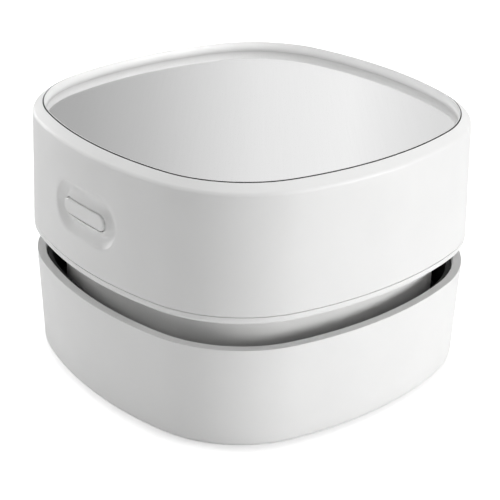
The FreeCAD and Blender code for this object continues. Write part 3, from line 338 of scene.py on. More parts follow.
def finished(bm, name, body, material, replaces):
    """Turn the bmesh into a piece that rides on a body in place of CAD nodes."""
    for kind in (bm.verts.layers.float_vector, bm.verts.layers.int):
        for layer in list(kind.values()):
            kind.remove(layer)
    bmesh.ops.recalc_face_normals(bm, faces=bm.faces)
    if bm.calc_volume(signed=True) < 0:
        bmesh.ops.reverse_faces(bm, faces=bm.faces)
    for face in bm.faces:
        face.smooth = True
    mesh = bpy.data.meshes.new(name)
    bm.to_mesh(mesh)
    bm.free()
    piece = bpy.data.objects.new(name, mesh)
    bpy.context.scene.collection.objects.link(piece)
    mesh.materials.append(material)
    even = piece.modifiers.new("Even normals", "WEIGHTED_NORMAL")
    even.mode = "FACE_AREA"
    even.keep_sharp = True
    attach(piece, body)
    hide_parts(*replaces)
    return piece


# ---------------- finishes

# Sockets of a mix node: its two colours and their mix, and its two plain values
COLOUR_A, COLOUR_B, COLOUR_MIX = 6, 7, 2
VALUE_A, VALUE_B = 2, 3


def node(tree, kind, inputs=None, **settings):
    """Add a node, set its properties and link or set its inputs."""
    made = tree.nodes.new(kind)
    for name, value in settings.items():
        setattr(made, name, value)
    for name, value in (inputs or {}).items():
        socket = made.inputs[name]
        if isinstance(value, bpy.types.NodeSocket):
            tree.links.new(value, socket)
        else:
            socket.default_value = value
    return made


def maths(tree, operation, *values):
    return node(tree, "ShaderNodeMath", dict(enumerate(values)), operation=operation).outputs[0]


def vector_maths(tree, operation, *values):
    made = node(tree, "ShaderNodeVectorMath", dict(enumerate(values)), operation=operation)
    return made.outputs["Value"]


def object_place(tree, stretch=(1, 1, 1), turn=0.0):
    """Object coordinates, turned back about the upright axis, then stretched."""
    place = node(tree, "ShaderNodeTexCoord").outputs["Object"]
    turned = node(
        tree, "ShaderNodeVectorRotate", {"Vector": place, "Angle": -turn}, rotation_type="Z_AXIS"
    )
    inputs = {"Vector": turned.outputs["Vector"], "Scale": stretch}
    return node(tree, "ShaderNodeMapping", inputs).outputs["Vector"]


def noise(tree, place, scale, detail=2.0, roughness=0.5):
    inputs = {"Vector": place, "Scale": scale, "Detail": detail, "Roughness": roughness}
    return node(tree, "ShaderNodeTexNoise", inputs).outputs["Fac"]


def spread(tree, value, low=0.0, high=1.0, source=(0.3, 0.7), kind="LINEAR"):
    """Map a value from a source range, by default that of a noise, to a range."""
    start, end = source
    inputs = {"Value": value, "From Min": start, "From Max": end, "To Min": low, "To Max": high}
    return node(tree, "ShaderNodeMapRange", inputs, interpolation_type=kind).outputs["Result"]


def blend(tree, share, first, second):
    """Mix two colours."""
    inputs = {"Factor": share, COLOUR_A: first, COLOUR_B: second}
    return node(tree, "ShaderNodeMix", inputs, data_type="RGBA").outputs[COLOUR_MIX]


def bump(tree, height, distance, strength):
    inputs = {"Height": height, "Distance": distance, "Strength": strength}
    return node(tree, "ShaderNodeBump", inputs).outputs["Normal"]


def shade(base, factor=1.0):
    """A colour made darker or lighter by a factor."""
    return (base[0] * factor, base[1] * factor, base[2] * factor, 1.0)


def clouded(tree, value, base, factor, high=1.0):
    """The base colour, which a noise value takes towards its own shade."""
    return blend(tree, spread(tree, value, high=high), shade(base), shade(base, factor))


def new_finish(name):
    """A new material, its node tree and its shader."""
    material = bpy.data.materials.new(name)
    material.use_nodes = True
    return material, material.node_tree, material.node_tree.nodes["Principled BSDF"]


def plug(tree, shader, tint, roughness, normal=None):
    """Feed a shader its colour, roughness and normal."""
    tree.links.new(tint, shader.inputs["Base Color"])
    tree.links.new(roughness, shader.inputs["Roughness"])
    if normal is not None:
        tree.links.new(normal, shader.inputs["Normal"])


def moulded(name, base, rough=0.42, grain=0.00018, depth=0.000004, mottle=0.03, specular=0.5):
    """Moulded plastic: a fine spark-eroded grain, slight clouding and patches of polish."""
    material, tree, shader = new_finish(name)
    place = object_place(tree)
    clouds = noise(tree, place, scale=55.0, detail=3.0)
    polish = noise(tree, place, scale=240.0, detail=4.0)
    sparks = noise(tree, place, scale=1 / grain)
    plug(
        tree,
        shader,
        clouded(tree, clouds, base, 1 - mottle),
        spread(tree, polish, low=rough - 0.04, high=rough + 0.05),
        bump(tree, sparks, depth, strength=0.6),
    )
    shader.inputs["Specular IOR Level"].default_value = specular
    return material


def metal(name, base, rough=0.3, stretch=(1, 1, 1), grain=0.0001, depth=0.000003, wear=0.12):
    """Metal with a drawn or turned grain along one axis."""
    material, tree, shader = new_finish(name)
    lines = noise(tree, object_place(tree, stretch), scale=1 / grain, detail=3.0, roughness=0.6)
    smudge = noise(tree, object_place(tree), scale=180.0, detail=4.0)
    plug(
        tree,
        shader,
        clouded(tree, lines, base, 1 - wear),
        spread(tree, smudge, low=rough - 0.05, high=rough + 0.08),
        bump(tree, lines, depth, strength=0.5),
    )
    shader.inputs["Metallic"].default_value = 1.0
    return material


def rubber(name, base):
    """Matt rubber with a dusty bloom."""
    material, tree, shader = new_finish(name)
    place = object_place(tree)
    bloom = noise(tree, place, scale=420.0, detail=5.0, roughness=0.7)
    skin = noise(tree, place, scale=6000.0)
    plug(
        tree,
        shader,
        clouded(tree, bloom, base, factor=1.8, high=0.6),
        spread(tree, bloom, low=0.62, high=0.85),
        bump(tree, skin, distance=0.000012, strength=0.7),
    )
    return material


def woven(name, base, pitch):
    """A fine woven mesh, with painted shade in the holes between its threads."""
    material, tree, shader = new_finish(name)
    place = object_place(tree)
    heights = []
    for axis in ("X", "Y"):
        inputs = {"Vector": place, "Scale": math.pi / (10 * pitch), "Distortion": 0.0}
        wave = node(tree, "ShaderNodeTexWave", inputs, bands_direction=axis)
        heights.append(wave.outputs["Fac"])
    threads = maths(tree, "MAXIMUM", *heights)
    hole_shade = spread(tree, threads, source=(0.35, 0.75))
    dust = noise(tree, place, scale=300.0, detail=4.0)
    plug(
        tree,
        shader,
        # Painted shade: the holes between the threads are darkened to 0.16 of the thread colour,
        # standing in for the shade seen through them
        blend(tree, hole_shade, shade(base, 0.16), shade(base)),
        spread(tree, dust, low=0.7, high=0.9),
        bump(tree, threads, distance=0.00012, strength=0.9),
    )
    return material


def circuit(name, base, copper):
    """A circuit board: solder mask over tracks, with a fine grain."""
    material, tree, shader = new_finish(name)
    place = object_place(tree)
    cells = node(
        tree,
        "ShaderNodeTexVoronoi",
        {"Vector": place, "Scale": 420.0, "Randomness": 0.35},
        feature="DISTANCE_TO_EDGE",
        distance="MANHATTAN",
    )
    tracks = spread(tree, cells.outputs["Distance"], low=1.0, high=0.0, source=(0.06, 0.11))
    grain = noise(tree, place, scale=3000.0)
    plug(
        tree,
        shader,
        blend(tree, tracks, shade(base), shade(copper)),
        spread(tree, grain, low=0.22, high=0.34),
        bump(tree, tracks, distance=0.00003, strength=0.8),
    )
    return material


def silvered(name, base):
    """Polished silver sheet with a faint straight grain."""
    material, tree, shader = new_finish(name)
    place = object_place(tree, stretch=(60, 1, 1), turn=math.radians(50))
    grain = noise(tree, place, scale=60.0, detail=3.0, roughness=0.6)
    plug(
        tree,
        shader,
        clouded(tree, grain, base, factor=0.985),
        spread(tree, grain, low=0.07, high=0.1),
    )
    shader.inputs["Metallic"].default_value = 1.0
    return material


def finish_node(name, material):
    """Give a carried-over node its finish."""
    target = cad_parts[name]
    target.data.materials.clear()
    target.data.materials.append(material)


# ---------------- operators


class VACUUM_OT_upper_shell(bpy.types.Operator):
    """Build the head's shell with its bevelled crown, recess and button dish"""

    bl_idname = "vacuum.upper_shell"
    bl_label = "Upper shell"

    FRONT, BACK = -1, 1
    # Material slot of the painted shade line on the ridge's land
    RIDGE_SHADE_FINISH = 1
    # Half width and half height of each window, and the rows of faces across it
    DISH_WINDOW, DISH_ROWS = (0.0129, 0.0072), 12
    SOCKET_WINDOW, SOCKET_ROWS = (0.0063, 0.003), 3
    # A window's edge that is nearer to the outer face than this lies in the outer skin
    SKIN_DEPTH = 0.001
    # Width and segments of the rounded edges
    SHOULDER_ROUND = (0.0006, 5)
    LIP_ROUND = (0.00003, 2)
    SEAM_ROUND = (0.00015, 3)
    # How much wider than its opening the socket's edge is, and at what depth
    SOCKET_EDGE = (
        (0.0006, 0.0),
        (0.0003, 0.00003),
        (0.00008, 0.00015),
        (0.0, 0.0003),
        (0.0, 0.0014),
    )
    # The dish: how far its flank starts outside its outline, the flank's run and its steps
    DISH_OUTSET = 0.0009
    DISH_RUN, DISH_STEPS = 0.0021, 8
    # How far each ring outside the flank is drawn from the window's edge to its pill
    DISH_PULLS = (0.34, 0.55, 1.0)
    # The rise to the button: its steps, how far it stops short of the slot, and the slot's edge
    RISE_STEPS, RISE_GAP = 6, 0.0002
    SLOT_ROUND = (0.00006, 0.00002)
    SLOT_EDGE, SLOT_DEPTH = 0.0001, 0.0007

    def execute(self, context):
        size, panel = case_sizes(), panel_sizes()
        bm = bmesh.new()
        tall = self.DISH_WINDOW[1]
        low = panel.button_level - tall
        foot = panel.socket_level - self.SOCKET_WINDOW[1]
        rows = [foot + (low - foot) * row / self.SOCKET_ROWS for row in range(self.SOCKET_ROWS)]
        rows += [low + 2 * tall * row / self.DISH_ROWS for row in range(self.DISH_ROWS + 1)]
        levels = [size.deck_bottom, *reversed(rows), size.seam]
        inner = [(size.upper_wall, level) for level in levels]
        outer = [(self.wall_inset(level), level) for level in [size.seam, *rows]]
        crown = [
            (size.shoulder_inset, size.shoulder),
            (size.crown_inset, size.crown - size.ridge_drop),
            (size.line_inset, size.crown),
            (size.recess_inset, size.crown),
            (size.recess_inset, size.deck_top),
        ]
        case_wall(bm, inner + outer + crown)
        seam = len(inner) + 1
        shoulder = len(inner) + len(outer) + 1
        ridge, line, lip, well = (shoulder + step for step in range(1, 5))
        entry_layer = bm.verts.layers.int["entry"]
        # The ridge's land between these two entries is coloured with painted shade
        for face in bm.faces:
            if {vert[entry_layer] for vert in face.verts} == {ridge, line}:
                face.material_index = self.RIDGE_SHADE_FINISH
        cap(bm, wall_line(bm, 1))
        cap(bm, wall_line(bm, well))
        dish, socket = self.dish_profile(), self.socket_profile()
        self.cut_window(bm, self.FRONT, panel.button_level, self.DISH_WINDOW, dish)
        self.cut_window(bm, self.BACK, panel.socket_level, self.SOCKET_WINDOW, socket)
        soften(bm, wall_line(bm, shoulder), *self.SHOULDER_ROUND)
        soften(bm, wall_line(bm, lip), *self.LIP_ROUND)
        soften(bm, wall_line(bm, seam), *self.SEAM_ROUND)
        white = moulded("case_white", colours().case)
        shell = finished(bm, "upper_shell", "head", white, ["upper_case"])
        # Near-black painted shade for the ridge's land, standing in for the shadowed edge of the
        # recess
        dark = moulded("ridge_painted_shade", colours().ridge, rough=0.5, mottle=0.1, specular=0.2)
        shell.data.materials.append(dark)
        return {"FINISHED"}

    def wall_inset(self, level):
        """Inset of the leaning outer wall at a level."""
        size = case_sizes()
        rise = (level - size.seam) / (size.shoulder - size.seam)
        return (size.seam_flare + size.shoulder_inset) * rise - size.seam_flare

    def wall_reach(self, x, level):
        """How far the outer face of the front and back walls stands out from the middle."""
        size = case_sizes()
        radius = size.side_radius - self.wall_inset(level)
        return math.sqrt(radius * radius - x * x) - outline_arcs(size)[0]

    def cut_window(self, bm, side, level, window, profile):
        """Open a window in both skins of the front or back wall and run rings through it."""
        half, tall = window
        opened = []
        for face in bm.faces:
            middle = face.calc_center_median()
            if abs(middle.x) < half and abs(middle.z - level) < tall and middle.y * side > 0:
                opened.append(face)
        bmesh.ops.delete(bm, geom=opened, context="FACES")
        border = [edge for edge in bm.edges if edge.is_boundary]
        reach = max(abs(vert.co.x) for edge in border for vert in edge.verts)
        outer, inner = [], []
        for edge in border:
            middle = (edge.verts[0].co + edge.verts[1].co) / 2
            skin = self.wall_reach(middle.x, middle.z) - self.SKIN_DEPTH
            (outer if middle.y * side > skin else inner).append(edge)
        share = bm.verts.layers.float_vector.get("share")
        if share is None:
            share = bm.verts.layers.float_vector.new("share")
        around = {vert for edge in outer for vert in edge.verts}
        top = max(vert.co.z for vert in around) - level
        foot = level - min(vert.co.z for vert in around)
        for vert in around:
            x, z = vert.co.x, vert.co.z - level
            end = top if z > 0 else foot
            walked = end + reach - abs(x) if abs(z) > end - MERGE else abs(z)
            vert[share] = (walked / (end + reach), math.copysign(1, x), math.copysign(1, z))
        loop = outer
        for long, high, deep, pull in profile:

            def move(vert):
                x, z = pill_point(vert[share], long, high)
                x = vert.co.x + (x - vert.co.x) * pull
                z = vert.co.z + (z + level - vert.co.z) * pull
                return Vector((x, (self.wall_reach(x, z) - deep) * side, z))

            loop = extend(bm, loop, move)
        self.join_to_window(bm, loop, inner, level)

    def join_to_window(self, bm, loop, window, level):
        """Run the slot's loop out to the inner skin's window, vertex by vertex."""

        def turn(vert):
            return math.atan2(vert.co.z - level, vert.co.x)

        def around(edges):
            return sorted({vert for edge in edges for vert in edge.verts}, key=turn)

        targets = [vert.co.copy() for vert in around(window)]
        fresh = extend(bm, loop, lambda vert: vert.co)
        for vert, target in zip(around(fresh), targets):
            vert.co = target
        bmesh.ops.remove_doubles(bm, verts=bm.verts, dist=MERGE)

    def socket_profile(self):
        """Rings from the back window's edge through the charging socket's opening."""
        panel = panel_sizes()
        return [
            (panel.socket_length + wider, panel.socket_height + wider, deep, 1.0)
            for wider, deep in self.SOCKET_EDGE
        ]

    def dish_profile(self):
        """Length, height, depth and pull of each ring from the window's edge to the slot."""
        panel = panel_sizes()
        long, high, deep = panel.dish_length, panel.dish_height, panel.dish_depth
        outset = 2 * self.DISH_OUTSET
        rings = [(long + outset, high + outset, 0.0, pull) for pull in self.DISH_PULLS]
        for step in range(1, self.DISH_STEPS + 1):
            part = step / self.DISH_STEPS
            fall = math.sin(part * QUARTER_TURN)
            wider = 2 * (self.DISH_OUTSET - self.DISH_RUN * part)
            rings.append((long + wider, high + wider, deep * fall, 1.0))
        slot_long = panel.button_length + 2 * panel.button_gap
        slot_high = panel.button_height + 2 * panel.button_gap
        moat_long, moat_high = rings[-1][:2]
        for step in range(1, self.RISE_STEPS + 1):
            part = step / self.RISE_STEPS
            rise = panel.dish_rise * (1 - math.cos(part * QUARTER_TURN))
            wide = moat_long + (slot_long + self.RISE_GAP - moat_long) * part
            tall = moat_high + (slot_high + self.RISE_GAP - moat_high) * part
            rings.append((wide, tall, deep - rise, 1.0))
        collar = deep - panel.dish_rise
        wider, lower = self.SLOT_ROUND
        rings.append((slot_long + wider, slot_high + wider, collar + lower, 1.0))
        rings.append((slot_long, slot_high, collar + self.SLOT_EDGE, 1.0))
        rings.append((slot_long, slot_high, deep + self.SLOT_DEPTH, 1.0))
        return rings


class VACUUM_OT_lower_shell(bpy.types.Operator):
    """Build the lower case with its flat rim and round foot"""

    bl_idname = "vacuum.lower_shell"
    bl_label = "Lower shell"

    # Width and segments of the round at some entries of the profile
    ROUNDS = {1: (0.0016, 6), 3: (0.00015, 3), 4: (0.0003, 3), 9: (0.0002, 2)}

    def execute(self, context):
        size = case_sizes()
        bm = bmesh.new()
        profile = [
            (size.foot_inset, size.foot),
            (size.foot_inset, size.foot + size.band),
            (-size.rim_flare, size.rim),
            (size.cavity_inset, size.rim),
            (size.cavity_inset, size.cavity_floor),
            ("hole", size.collar_hole, size.cavity_floor),
            ("hole", size.collar_hole, size.seat_level),
            (size.seat_inset, size.seat_level),
            (size.seat_inset, size.foot),
        ]
        case_wall(bm, profile, closed=True)
        for entry, rounding in self.ROUNDS.items():
            soften(bm, wall_line(bm, entry), *rounding)
        material = bpy.data.materials["case_white"]
        finished(bm, "lower_shell", "base", material, ["lower_case"])
        return {"FINISHED"}


class VACUUM_OT_head_cover(bpy.types.Operator):
    """Build the cover under the head, whose lip shows below the seam"""

    bl_idname = "vacuum.head_cover"
    bl_label = "Head cover"

    LIP_SEGMENTS = 6
    JOINT_ROUND = (0.0001, 3)

    def execute(self, context):
        size, cover = case_sizes(), context.scene.vacuum_cover
        top = size.seam - cover.joint_gap
        spigot_top = size.seam + cover.spigot_height
        spigot_inner = cover.spigot_inset + cover.spigot_wall
        profile = [
            (-size.seam_flare, cover.bottom),
            (-size.seam_flare, top),
            (cover.joint_depth, top),
            (cover.joint_depth, size.seam),
            (cover.spigot_inset, size.seam),
            (cover.spigot_inset, spigot_top),
            (spigot_inner, spigot_top),
            (spigot_inner, size.seam),
            ("hole", cover.motor_window, size.seam),
            ("hole", cover.motor_window, cover.bottom),
        ]
        bm = bmesh.new()
        case_wall(bm, profile, closed=True)
        soften(bm, wall_line(bm, 1), cover.lip_round, self.LIP_SEGMENTS)
        soften(bm, wall_line(bm, 2), *self.JOINT_ROUND)
        self.add_rails(bm, size.seam, cover)
        self.add_posts(bm, size.seam, cover)
        material = bpy.data.materials["case_white"]
        finished(bm, "head_cover", "head", material, ["head_base"])
        return {"FINISHED"}

    def add_rails(self, bm, foot, cover):
        """Two channels that hold the control board's side edges."""
        low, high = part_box("control_board")
        top = foot + cover.rail_height
        for side in (1, -1):
            inner, edge = (high.x - cover.rail_grip) * side, high.x * side
            outer = (high.x + cover.rail_width) * side
            block(bm, (inner, low.y - cover.rail_width, foot), (outer, low.y, top))
            block(bm, (inner, high.y, foot), (outer, high.y + cover.rail_width, top))
            block(bm, (edge, low.y, foot), (outer, high.y, top))

    def add_posts(self, bm, foot, cover):
        """Four posts that carry the charging board."""
        low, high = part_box("charge_board")
        half = cover.post_width / 2
        for x in (low.x + cover.rail_width, high.x - cover.rail_width):
            for y in (low.y + cover.rail_width, high.y - cover.rail_width):
                block(bm, (x - half, y - half, foot), (x + half, y + half, low.z))


class VACUUM_OT_panel(bpy.types.Operator):
    """Build the silver panel in the head's recess"""

    bl_idname = "vacuum.panel"
    bl_label = "Panel"

    EDGE_ROUND = (0.0001, 3)

    def execute(self, context):
        panel = panel_sizes()
        bm = bmesh.new()
        inset = panel.panel_inset
        case_wall(bm, [(inset, panel.panel_back), (inset, panel.panel_face)])
        cap(bm, wall_line(bm, 1))
        cap(bm, wall_line(bm, 2))
        soften(bm, wall_line(bm, 2), *self.EDGE_ROUND)
        silver = silvered("panel_silver", colours().panel)
        finished(bm, "silver_panel", "head", silver, ["top_panel"])
        return {"FINISHED"}


class VACUUM_OT_button(bpy.types.Operator):
    """Build the pill-shaped button cap with its flange and stem"""

    bl_idname = "vacuum.button"
    bl_label = "Button"

    # How much smaller than the cap its rounded edge is, and how far behind its face
    CAP_EDGE = ((0.0008, 0.0), (0.00035, 0.00004), (0.0001, 0.00013), (0.0, 0.0003))
    # Where the flange starts and ends along y, how much it is larger, and the stem's width
    FLANGE_FRONT, FLANGE_BACK = -0.04175, -0.04085
    FLANGE_REACH = 0.002
    STEM = 0.003

    def execute(self, context):
        panel = panel_sizes()
        low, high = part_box("power_button")
        bm = bmesh.new()
        long, tall = panel.button_length, panel.button_height
        flange = (long + self.FLANGE_REACH, tall + self.FLANGE_REACH)
        profile = [(long - less, tall - less, low.y + deep) for less, deep in self.CAP_EDGE]
        profile += [
            (long, tall, self.FLANGE_FRONT),
            (*flange, self.FLANGE_FRONT),
            (*flange, self.FLANGE_BACK),
            (self.STEM, self.STEM, self.FLANGE_BACK),
            (self.STEM, self.STEM, high.y),
        ]
        share = bm.verts.layers.float_vector.new("share")
        verts = bmesh.ops.create_circle(bm, segments=PILL_SEGMENTS, radius=tall)["verts"]
        for vert in verts:
            angle = abs(math.atan2(vert.co.y, vert.co.x))
            quarter = min(angle, math.pi - angle) / QUARTER_TURN
            vert[share] = (quarter, math.copysign(1, vert.co.x), math.copysign(1, vert.co.y))
        face = list({edge for vert in verts for edge in vert.link_edges})
        loop = face
        for number, entry in enumerate(profile):

            def move(vert):
                x, z = pill_point(vert[share], *entry[:2])
                return Vector((x, entry[2], z + panel.button_level))

            if number:
                loop = extend(bm, loop, move)
            else:
                for vert in verts:
                    vert.co = move(vert)
        cap(bm, face)
        cap(bm, loop)
        white = moulded("button_white", colours().case, rough=0.36)
        finished(bm, "button_cap", "button", white, ["power_button"])
        return {"FINISHED"}


class VACUUM_OT_brush(bpy.types.Operator):
    """Build the ring of bristle tufts round the mouth"""

    bl_idname = "vacuum.brush"
    bl_label = "Brush"

    GOLDEN_ANGLE = 2.399963
    FIBRE_SIDES = 5
    TIP_SHARE = 0.7

    def execute(self, context):
        size = context.scene.vacuum_brush
        low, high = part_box("bristles")
        tall = high.z - low.z
        bm = bmesh.new()
        for tuft in range(size.tufts):
            angle = FULL_TURN * tuft / size.tufts
            centre = Vector((math.cos(angle), math.sin(angle), 0)) * size.radius
            for fibre in range(size.fibres):
                share = math.sqrt((fibre + 0.5) / size.fibres)
                turn = self.GOLDEN_ANGLE * (fibre + tuft)
                away = Vector((math.cos(turn), math.sin(turn), 0)) * share
                self.add_fibre(bm, centre, away, low.z, tall, size)
        black = (0.02, 0.02, 0.021)
        dark = moulded("bristle_black", black, rough=0.5, grain=0.00008, depth=0.000003, mottle=0.3)
        finished(bm, "brush_tufts", "base", dark, ["bristles"])
        return {"FINISHED"}

    def add_fibre(self, bm, centre, away, foot, tall, size):
        """One tapered fibre that leans out towards its tip on the desk."""
        made = bmesh.ops.create_cone(
            bm,
            cap_ends=True,
            segments=self.FIBRE_SIDES,
            radius1=size.fibre_radius * self.TIP_SHARE,
            radius2=size.fibre_radius,
            depth=tall,
        )["verts"]
        root = centre + away * (size.tuft_radius - size.fibre_radius)
        for vert in made:
            reach = 1 - (vert.co.z / tall + 0.5)
            vert.co += root + away * (size.spread * reach) + Vector((0, 0, foot + tall / 2))


class VACUUM_OT_finishes(bpy.types.Operator):
    """Give each carried-over solid its finish"""

    bl_idname = "vacuum.finishes"
    bl_label = "Finishes"

    def execute(self, context):
        shown = colours()
        neck = moulded("neck_grey", shown.neck, rough=0.38)
        cup = moulded("cup_black", shown.cup, rough=0.6, mottle=0.2, specular=0.25)
        plate = moulded("plate_grey", (0.62, 0.62, 0.61), rough=0.5, grain=0.0003, depth=0.00001)
        fan = moulded("fan_black", (0.016, 0.016, 0.018), rough=0.36, mottle=0.2)
        white = moulded("frame_white", (0.7, 0.7, 0.69), rough=0.5)
        natural = moulded("natural_plastic", (0.72, 0.70, 0.62), rough=0.45)
        dark = moulded("dark_plastic", (0.02, 0.02, 0.021), rough=0.4, mottle=0.25)
        coarse = {"grain": 0.0001, "depth": 0.00001, "mottle": 0.3}
        ferrite = moulded("ferrite", (0.035, 0.035, 0.038), rough=0.6, **coarse)
        film = {"grain": 0.0004, "depth": 0.000006, "mottle": 0.1}
        sleeve = moulded("cell_sleeve", (0.02, 0.09, 0.25), rough=0.28, **film)
        drawn = {"stretch": (1, 1, 14), "grain": 0.0004}
        steel = metal("zinc_steel", (0.55, 0.55, 0.57), rough=0.32, **drawn)
        turned = {"stretch": (1, 1, 20), "grain": 0.0005}
        ground = metal("ground_steel", (0.62, 0.62, 0.63), rough=0.2, **turned)
        sheets = {"stretch": (0.02, 0.02, 1), "grain": 0.0005, "depth": 0.00002}
        laminated = metal("laminations", (0.3, 0.3, 0.31), rough=0.45, **sheets)
        copper = metal("copper", (0.72, 0.34, 0.2), rough=0.3, stretch=(1, 1, 16), grain=0.0004)
        bronze = metal("bronze", (0.5, 0.3, 0.14), rough=0.5, grain=0.0002, depth=0.00001)
        foot = rubber("foot_rubber", (0.03, 0.03, 0.03))
        seal = rubber("seal_rubber", (0.05, 0.05, 0.052))
        red_lead = rubber("red_lead", (0.35, 0.02, 0.015))
        black_lead = rubber("black_lead", (0.02, 0.02, 0.02))
        mesh = woven("filter_weave", (0.68, 0.68, 0.66), pitch=0.0006)
        board = circuit("board_green", (0.01, 0.09, 0.035), copper=(0.03, 0.16, 0.06))
        worn_by = (
            (neck, "neck_housing"),
            (cup, "dust_cup", "intake_tube", "filter_frame"),
            (plate, "base_plate"),
            (fan, "impeller_cover", "impeller"),
            (white, "battery_cradle"),
            (natural, "motor_cap", "switch_plunger"),
            (dark, "brush_ring", "switch_body", "board_chips", "inlet_tongue"),
            (ferrite, "motor_magnets"),
            (sleeve, "battery_cell"),
            (steel, "motor_can", "charge_inlet"),
            (steel, "base_screws", "cover_screws", "case_screws", "motor_screws"),
            (ground, "motor_shaft", "battery_ends"),
            (laminated, "armature"),
            (copper, "commutator", "motor_terminals"),
            (bronze, "motor_bushes"),
            (foot, "glide_feet"),
            (seal, "panel_tape", "filter_seal"),
            (red_lead, "motor_leads", "battery_leads"),
            (black_lead, "board_leads"),
            (mesh, "filter_mesh"),
            (board, "control_board", "charge_board"),
        )
        for material, *names in worn_by:
            for name in names:
                finish_node(name, material)
        return {"FINISHED"}


class VACUUM_OT_stage(bpy.types.Operator):
    """Set the floor, lamps, world and camera"""

    bl_idname = "vacuum.stage"
    bl_label = "Stage"

    # Camera: its direction, distance and roll, the point it circles and where it looks beside that
    AZIMUTH = math.radians(50.044)
    ELEVATION = math.radians(23.961)
    ROLL = math.radians(1.099)
    DISTANCE = 0.2991
    TARGET = Vector((0, 0, 0.033))
    AIM_RIGHT = 0.000378
    AIM_DOWN = 0.00904
    LENS, SENSOR = 94.54, 36.0
    CLIP = (0.01, 10.0)
    # Lamps: name, place, width, power and whether reflections show it
    LAMPS = (
        ("key_lamp", (0.84, 0.44, 0.08), 0.4, 6.65, True),
        ("side_lamp", (-0.66, -0.1, 0.14), 0.3, 0.95, True),
        ("fill_lamp", (-0.5, -0.5, 0.35), 0.35, 0.9, False),
        ("top_lamp", (-0.05, 0.05, 0.9), 0.35, 3.5, False),
    )
    WORLD_LIGHT = 0.3
    # Floor: half its width, and its glow for the camera, which grows over a span of distances
    FLOOR_SIZE = 3.0
    FLOOR_GLOW, FAR_GLOW = 0.5, 0.85
    GLOW_SPAN = (0.25, 1.2)
    # Card in front, which shows only in light that has met a dull surface before
    CARD_RISE = 0.4
    CARD_EDGE = 0.5
    FRONT_CARD = 4.3
    # Room in reflections: strength at each place along the camera's right
    REFLECTED_SPAN = (-0.5, 0.5)
    REFLECTED_PEAK = 1.1
    REFLECTED = (
        (-0.25, 0.4),
        (-0.129, 0.51),
        (-0.076, 0.65),
        (-0.038, 0.8),
        (0.0076, 0.97),
        (0.076, 1.07),
        (0.144, 0.86),
        (0.25, 1.05),
        (0.45, 0.85),
    )

    def execute(self, context):
        self.add_floor()
        self.add_world(context)
        for lamp in self.LAMPS:
            self.add_lamp(*lamp)
        self.add_camera(context)
        context.scene.view_settings.view_transform = "Standard"
        return {"FINISHED"}

    def add_floor(self):
        bm = bmesh.new()
        bmesh.ops.create_grid(bm, x_segments=1, y_segments=1, size=self.FLOOR_SIZE)
        mesh = bpy.data.meshes.new("floor")
        bm.to_mesh(mesh)
        bm.free()
        floor = bpy.data.objects.new("floor", mesh)
        bpy.context.scene.collection.objects.link(floor)
        material, tree, shader = new_finish("floor_white")
        clouds = noise(tree, object_place(tree), scale=3.0)
        tint = clouded(tree, clouds, colours().floor, factor=0.99)
        camera_ray = node(tree, "ShaderNodeLightPath").outputs["Is Camera Ray"]
        away = vector_maths(tree, "LENGTH", object_place(tree))
        level = spread(tree, away, self.FLOOR_GLOW, self.FAR_GLOW, self.GLOW_SPAN)
        tree.links.new(blend(tree, camera_ray, tint, WHITE), shader.inputs["Base Color"])
        shader.inputs["Roughness"].default_value = 0.9
        shader.inputs["Specular IOR Level"].default_value = 0.0
        shader.inputs["Emission Color"].default_value = WHITE
        glow = maths(tree, "MULTIPLY", camera_ray, level)
        tree.links.new(glow, shader.inputs["Emission Strength"])
        mesh.materials.append(material)

    def add_world(self, context):
        world = bpy.data.worlds.new("studio")
        context.scene.world = world
        world.use_nodes = True
        tree = world.node_tree
        background = tree.nodes["Background"]
        ray = node(tree, "ShaderNodeTexCoord").outputs["Generated"]
        right = (math.cos(self.AZIMUTH), math.sin(self.AZIMUTH), 0)
        across = vector_maths(tree, "DOT_PRODUCT", ray, right)
        share = spread(tree, across, source=self.REFLECTED_SPAN)
        front = Vector((math.sin(self.AZIMUTH), -math.cos(self.AZIMUTH), self.CARD_RISE))
        facing = vector_maths(tree, "DOT_PRODUCT", ray, front.normalized())
        card = spread(tree, facing, 0.0, self.FRONT_CARD, (self.CARD_EDGE, 1.0), "SMOOTHSTEP")
        ramp = node(tree, "ShaderNodeValToRGB", {"Fac": share})
        stops = ramp.color_ramp.elements
        while len(stops) < len(self.REFLECTED):
            stops.new(1.0)
        low, high = self.REFLECTED_SPAN
        for stop, (side, strength) in zip(stops, self.REFLECTED):
            stop.position = (side - low) / (high - low)
            stop.color = shade(WHITE, strength / self.REFLECTED_PEAK)
        path = node(tree, "ShaderNodeLightPath").outputs
        thrown = maths(tree, "MULTIPLY", maths(tree, "MINIMUM", path["Diffuse Depth"], 1.0), card)
        tone = ramp.outputs["Color"]
        reflected = maths(tree, "MULTIPLY_ADD", tone, self.REFLECTED_PEAK, thrown)
        glossy = self.choose(tree, path["Is Glossy Ray"], self.WORLD_LIGHT, reflected)
        direct = maths(tree, "MAXIMUM", path["Is Camera Ray"], path["Is Transmission Ray"])
        background.inputs["Color"].default_value = WHITE
        tree.links.new(self.choose(tree, direct, glossy, 1.0), background.inputs["Strength"])

    def choose(self, tree, share, first, second):
        """Mix two strengths."""
        inputs = {"Factor": share, VALUE_A: first, VALUE_B: second}
        return node(tree, "ShaderNodeMix", inputs).outputs[0]

    def add_lamp(self, name, place, size, power, glossy):
        data = bpy.data.lights.new(name, "AREA")
        data.shape = "DISK"
        data.size = size
        data.energy = power
        lamp = bpy.data.objects.new(name, data)
        lamp.visible_glossy = glossy
        lamp.location = place
        lamp.rotation_mode = "QUATERNION"
        lamp.rotation_quaternion = (self.TARGET - Vector(place)).to_track_quat("-Z", "Y")
        bpy.context.scene.collection.objects.link(lamp)

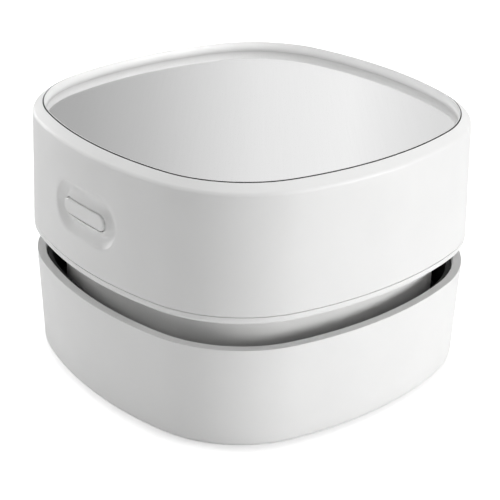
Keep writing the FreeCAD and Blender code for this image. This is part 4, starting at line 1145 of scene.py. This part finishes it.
    def add_camera(self, context):
        turn, rise = self.AZIMUTH, self.ELEVATION
        flat = math.cos(rise)
        back = Vector((math.sin(turn) * flat, -math.cos(turn) * flat, math.sin(rise)))
        right = Vector((math.cos(turn), math.sin(turn), 0))
        up = back.cross(right)
        data = bpy.data.cameras.new("camera")
        data.lens = self.LENS
        data.sensor_width = self.SENSOR
        data.clip_start, data.clip_end = self.CLIP
        camera = bpy.data.objects.new("camera", data)
        camera.location = self.TARGET + back * self.DISTANCE
        aim = self.TARGET + right * self.AIM_RIGHT - up * self.AIM_DOWN
        look = (aim - camera.location).to_track_quat("-Z", "Y")
        camera.rotation_mode = "QUATERNION"
        camera.rotation_quaternion = look @ Quaternion(Z_AXIS, self.ROLL)
        context.scene.collection.objects.link(camera)
        context.scene.camera = camera


PIECES = (
    VACUUM_OT_upper_shell,
    VACUUM_OT_lower_shell,
    VACUUM_OT_head_cover,
    VACUUM_OT_panel,
    VACUUM_OT_button,
    VACUUM_OT_brush,
    VACUUM_OT_finishes,
    VACUUM_OT_stage,
)

GROUPS = {
    "vacuum_case": VacuumCaseSizes,
    "vacuum_cover": VacuumHeadCoverSizes,
    "vacuum_panel": VacuumPanelSizes,
    "vacuum_brush": VacuumBrushSizes,
    "vacuum_colours": VacuumColours,
}


class VACUUM_PT_sidebar(bpy.types.Panel):
    """Lists the pieces of the desk vacuum"""

    bl_idname = "VACUUM_PT_sidebar"
    bl_label = "Desk Vacuum"
    bl_space_type = "VIEW_3D"
    bl_region_type = "UI"
    bl_category = "Desk Vacuum"

    def draw(self, context):
        for piece in PIECES:
            self.layout.operator(piece.bl_idname)
        for name in GROUPS:
            group = getattr(context.scene, name)
            box = self.layout.box()
            for size in group.__annotations__:
                box.prop(group, size)


def register():
    for group in GROUPS.values():
        bpy.utils.register_class(group)
    for piece in PIECES:
        bpy.utils.register_class(piece)
    bpy.utils.register_class(VACUUM_PT_sidebar)
    for name, group in GROUPS.items():
        setattr(bpy.types.Scene, name, PointerProperty(type=group))


def unregister():
    for name in GROUPS:
        delattr(bpy.types.Scene, name)
    bpy.utils.unregister_class(VACUUM_PT_sidebar)
    for piece in reversed(PIECES):
        bpy.utils.unregister_class(piece)
    for group in reversed(GROUPS.values()):
        bpy.utils.unregister_class(group)


def main():
    register()
    bpy.ops.vacuum.stage()
    bpy.ops.vacuum.upper_shell()
    bpy.ops.vacuum.lower_shell()
    bpy.ops.vacuum.head_cover()
    bpy.ops.vacuum.panel()
    bpy.ops.vacuum.button()
    bpy.ops.vacuum.brush()
    bpy.ops.vacuum.finishes()


if __name__ == "__main__":
    main()
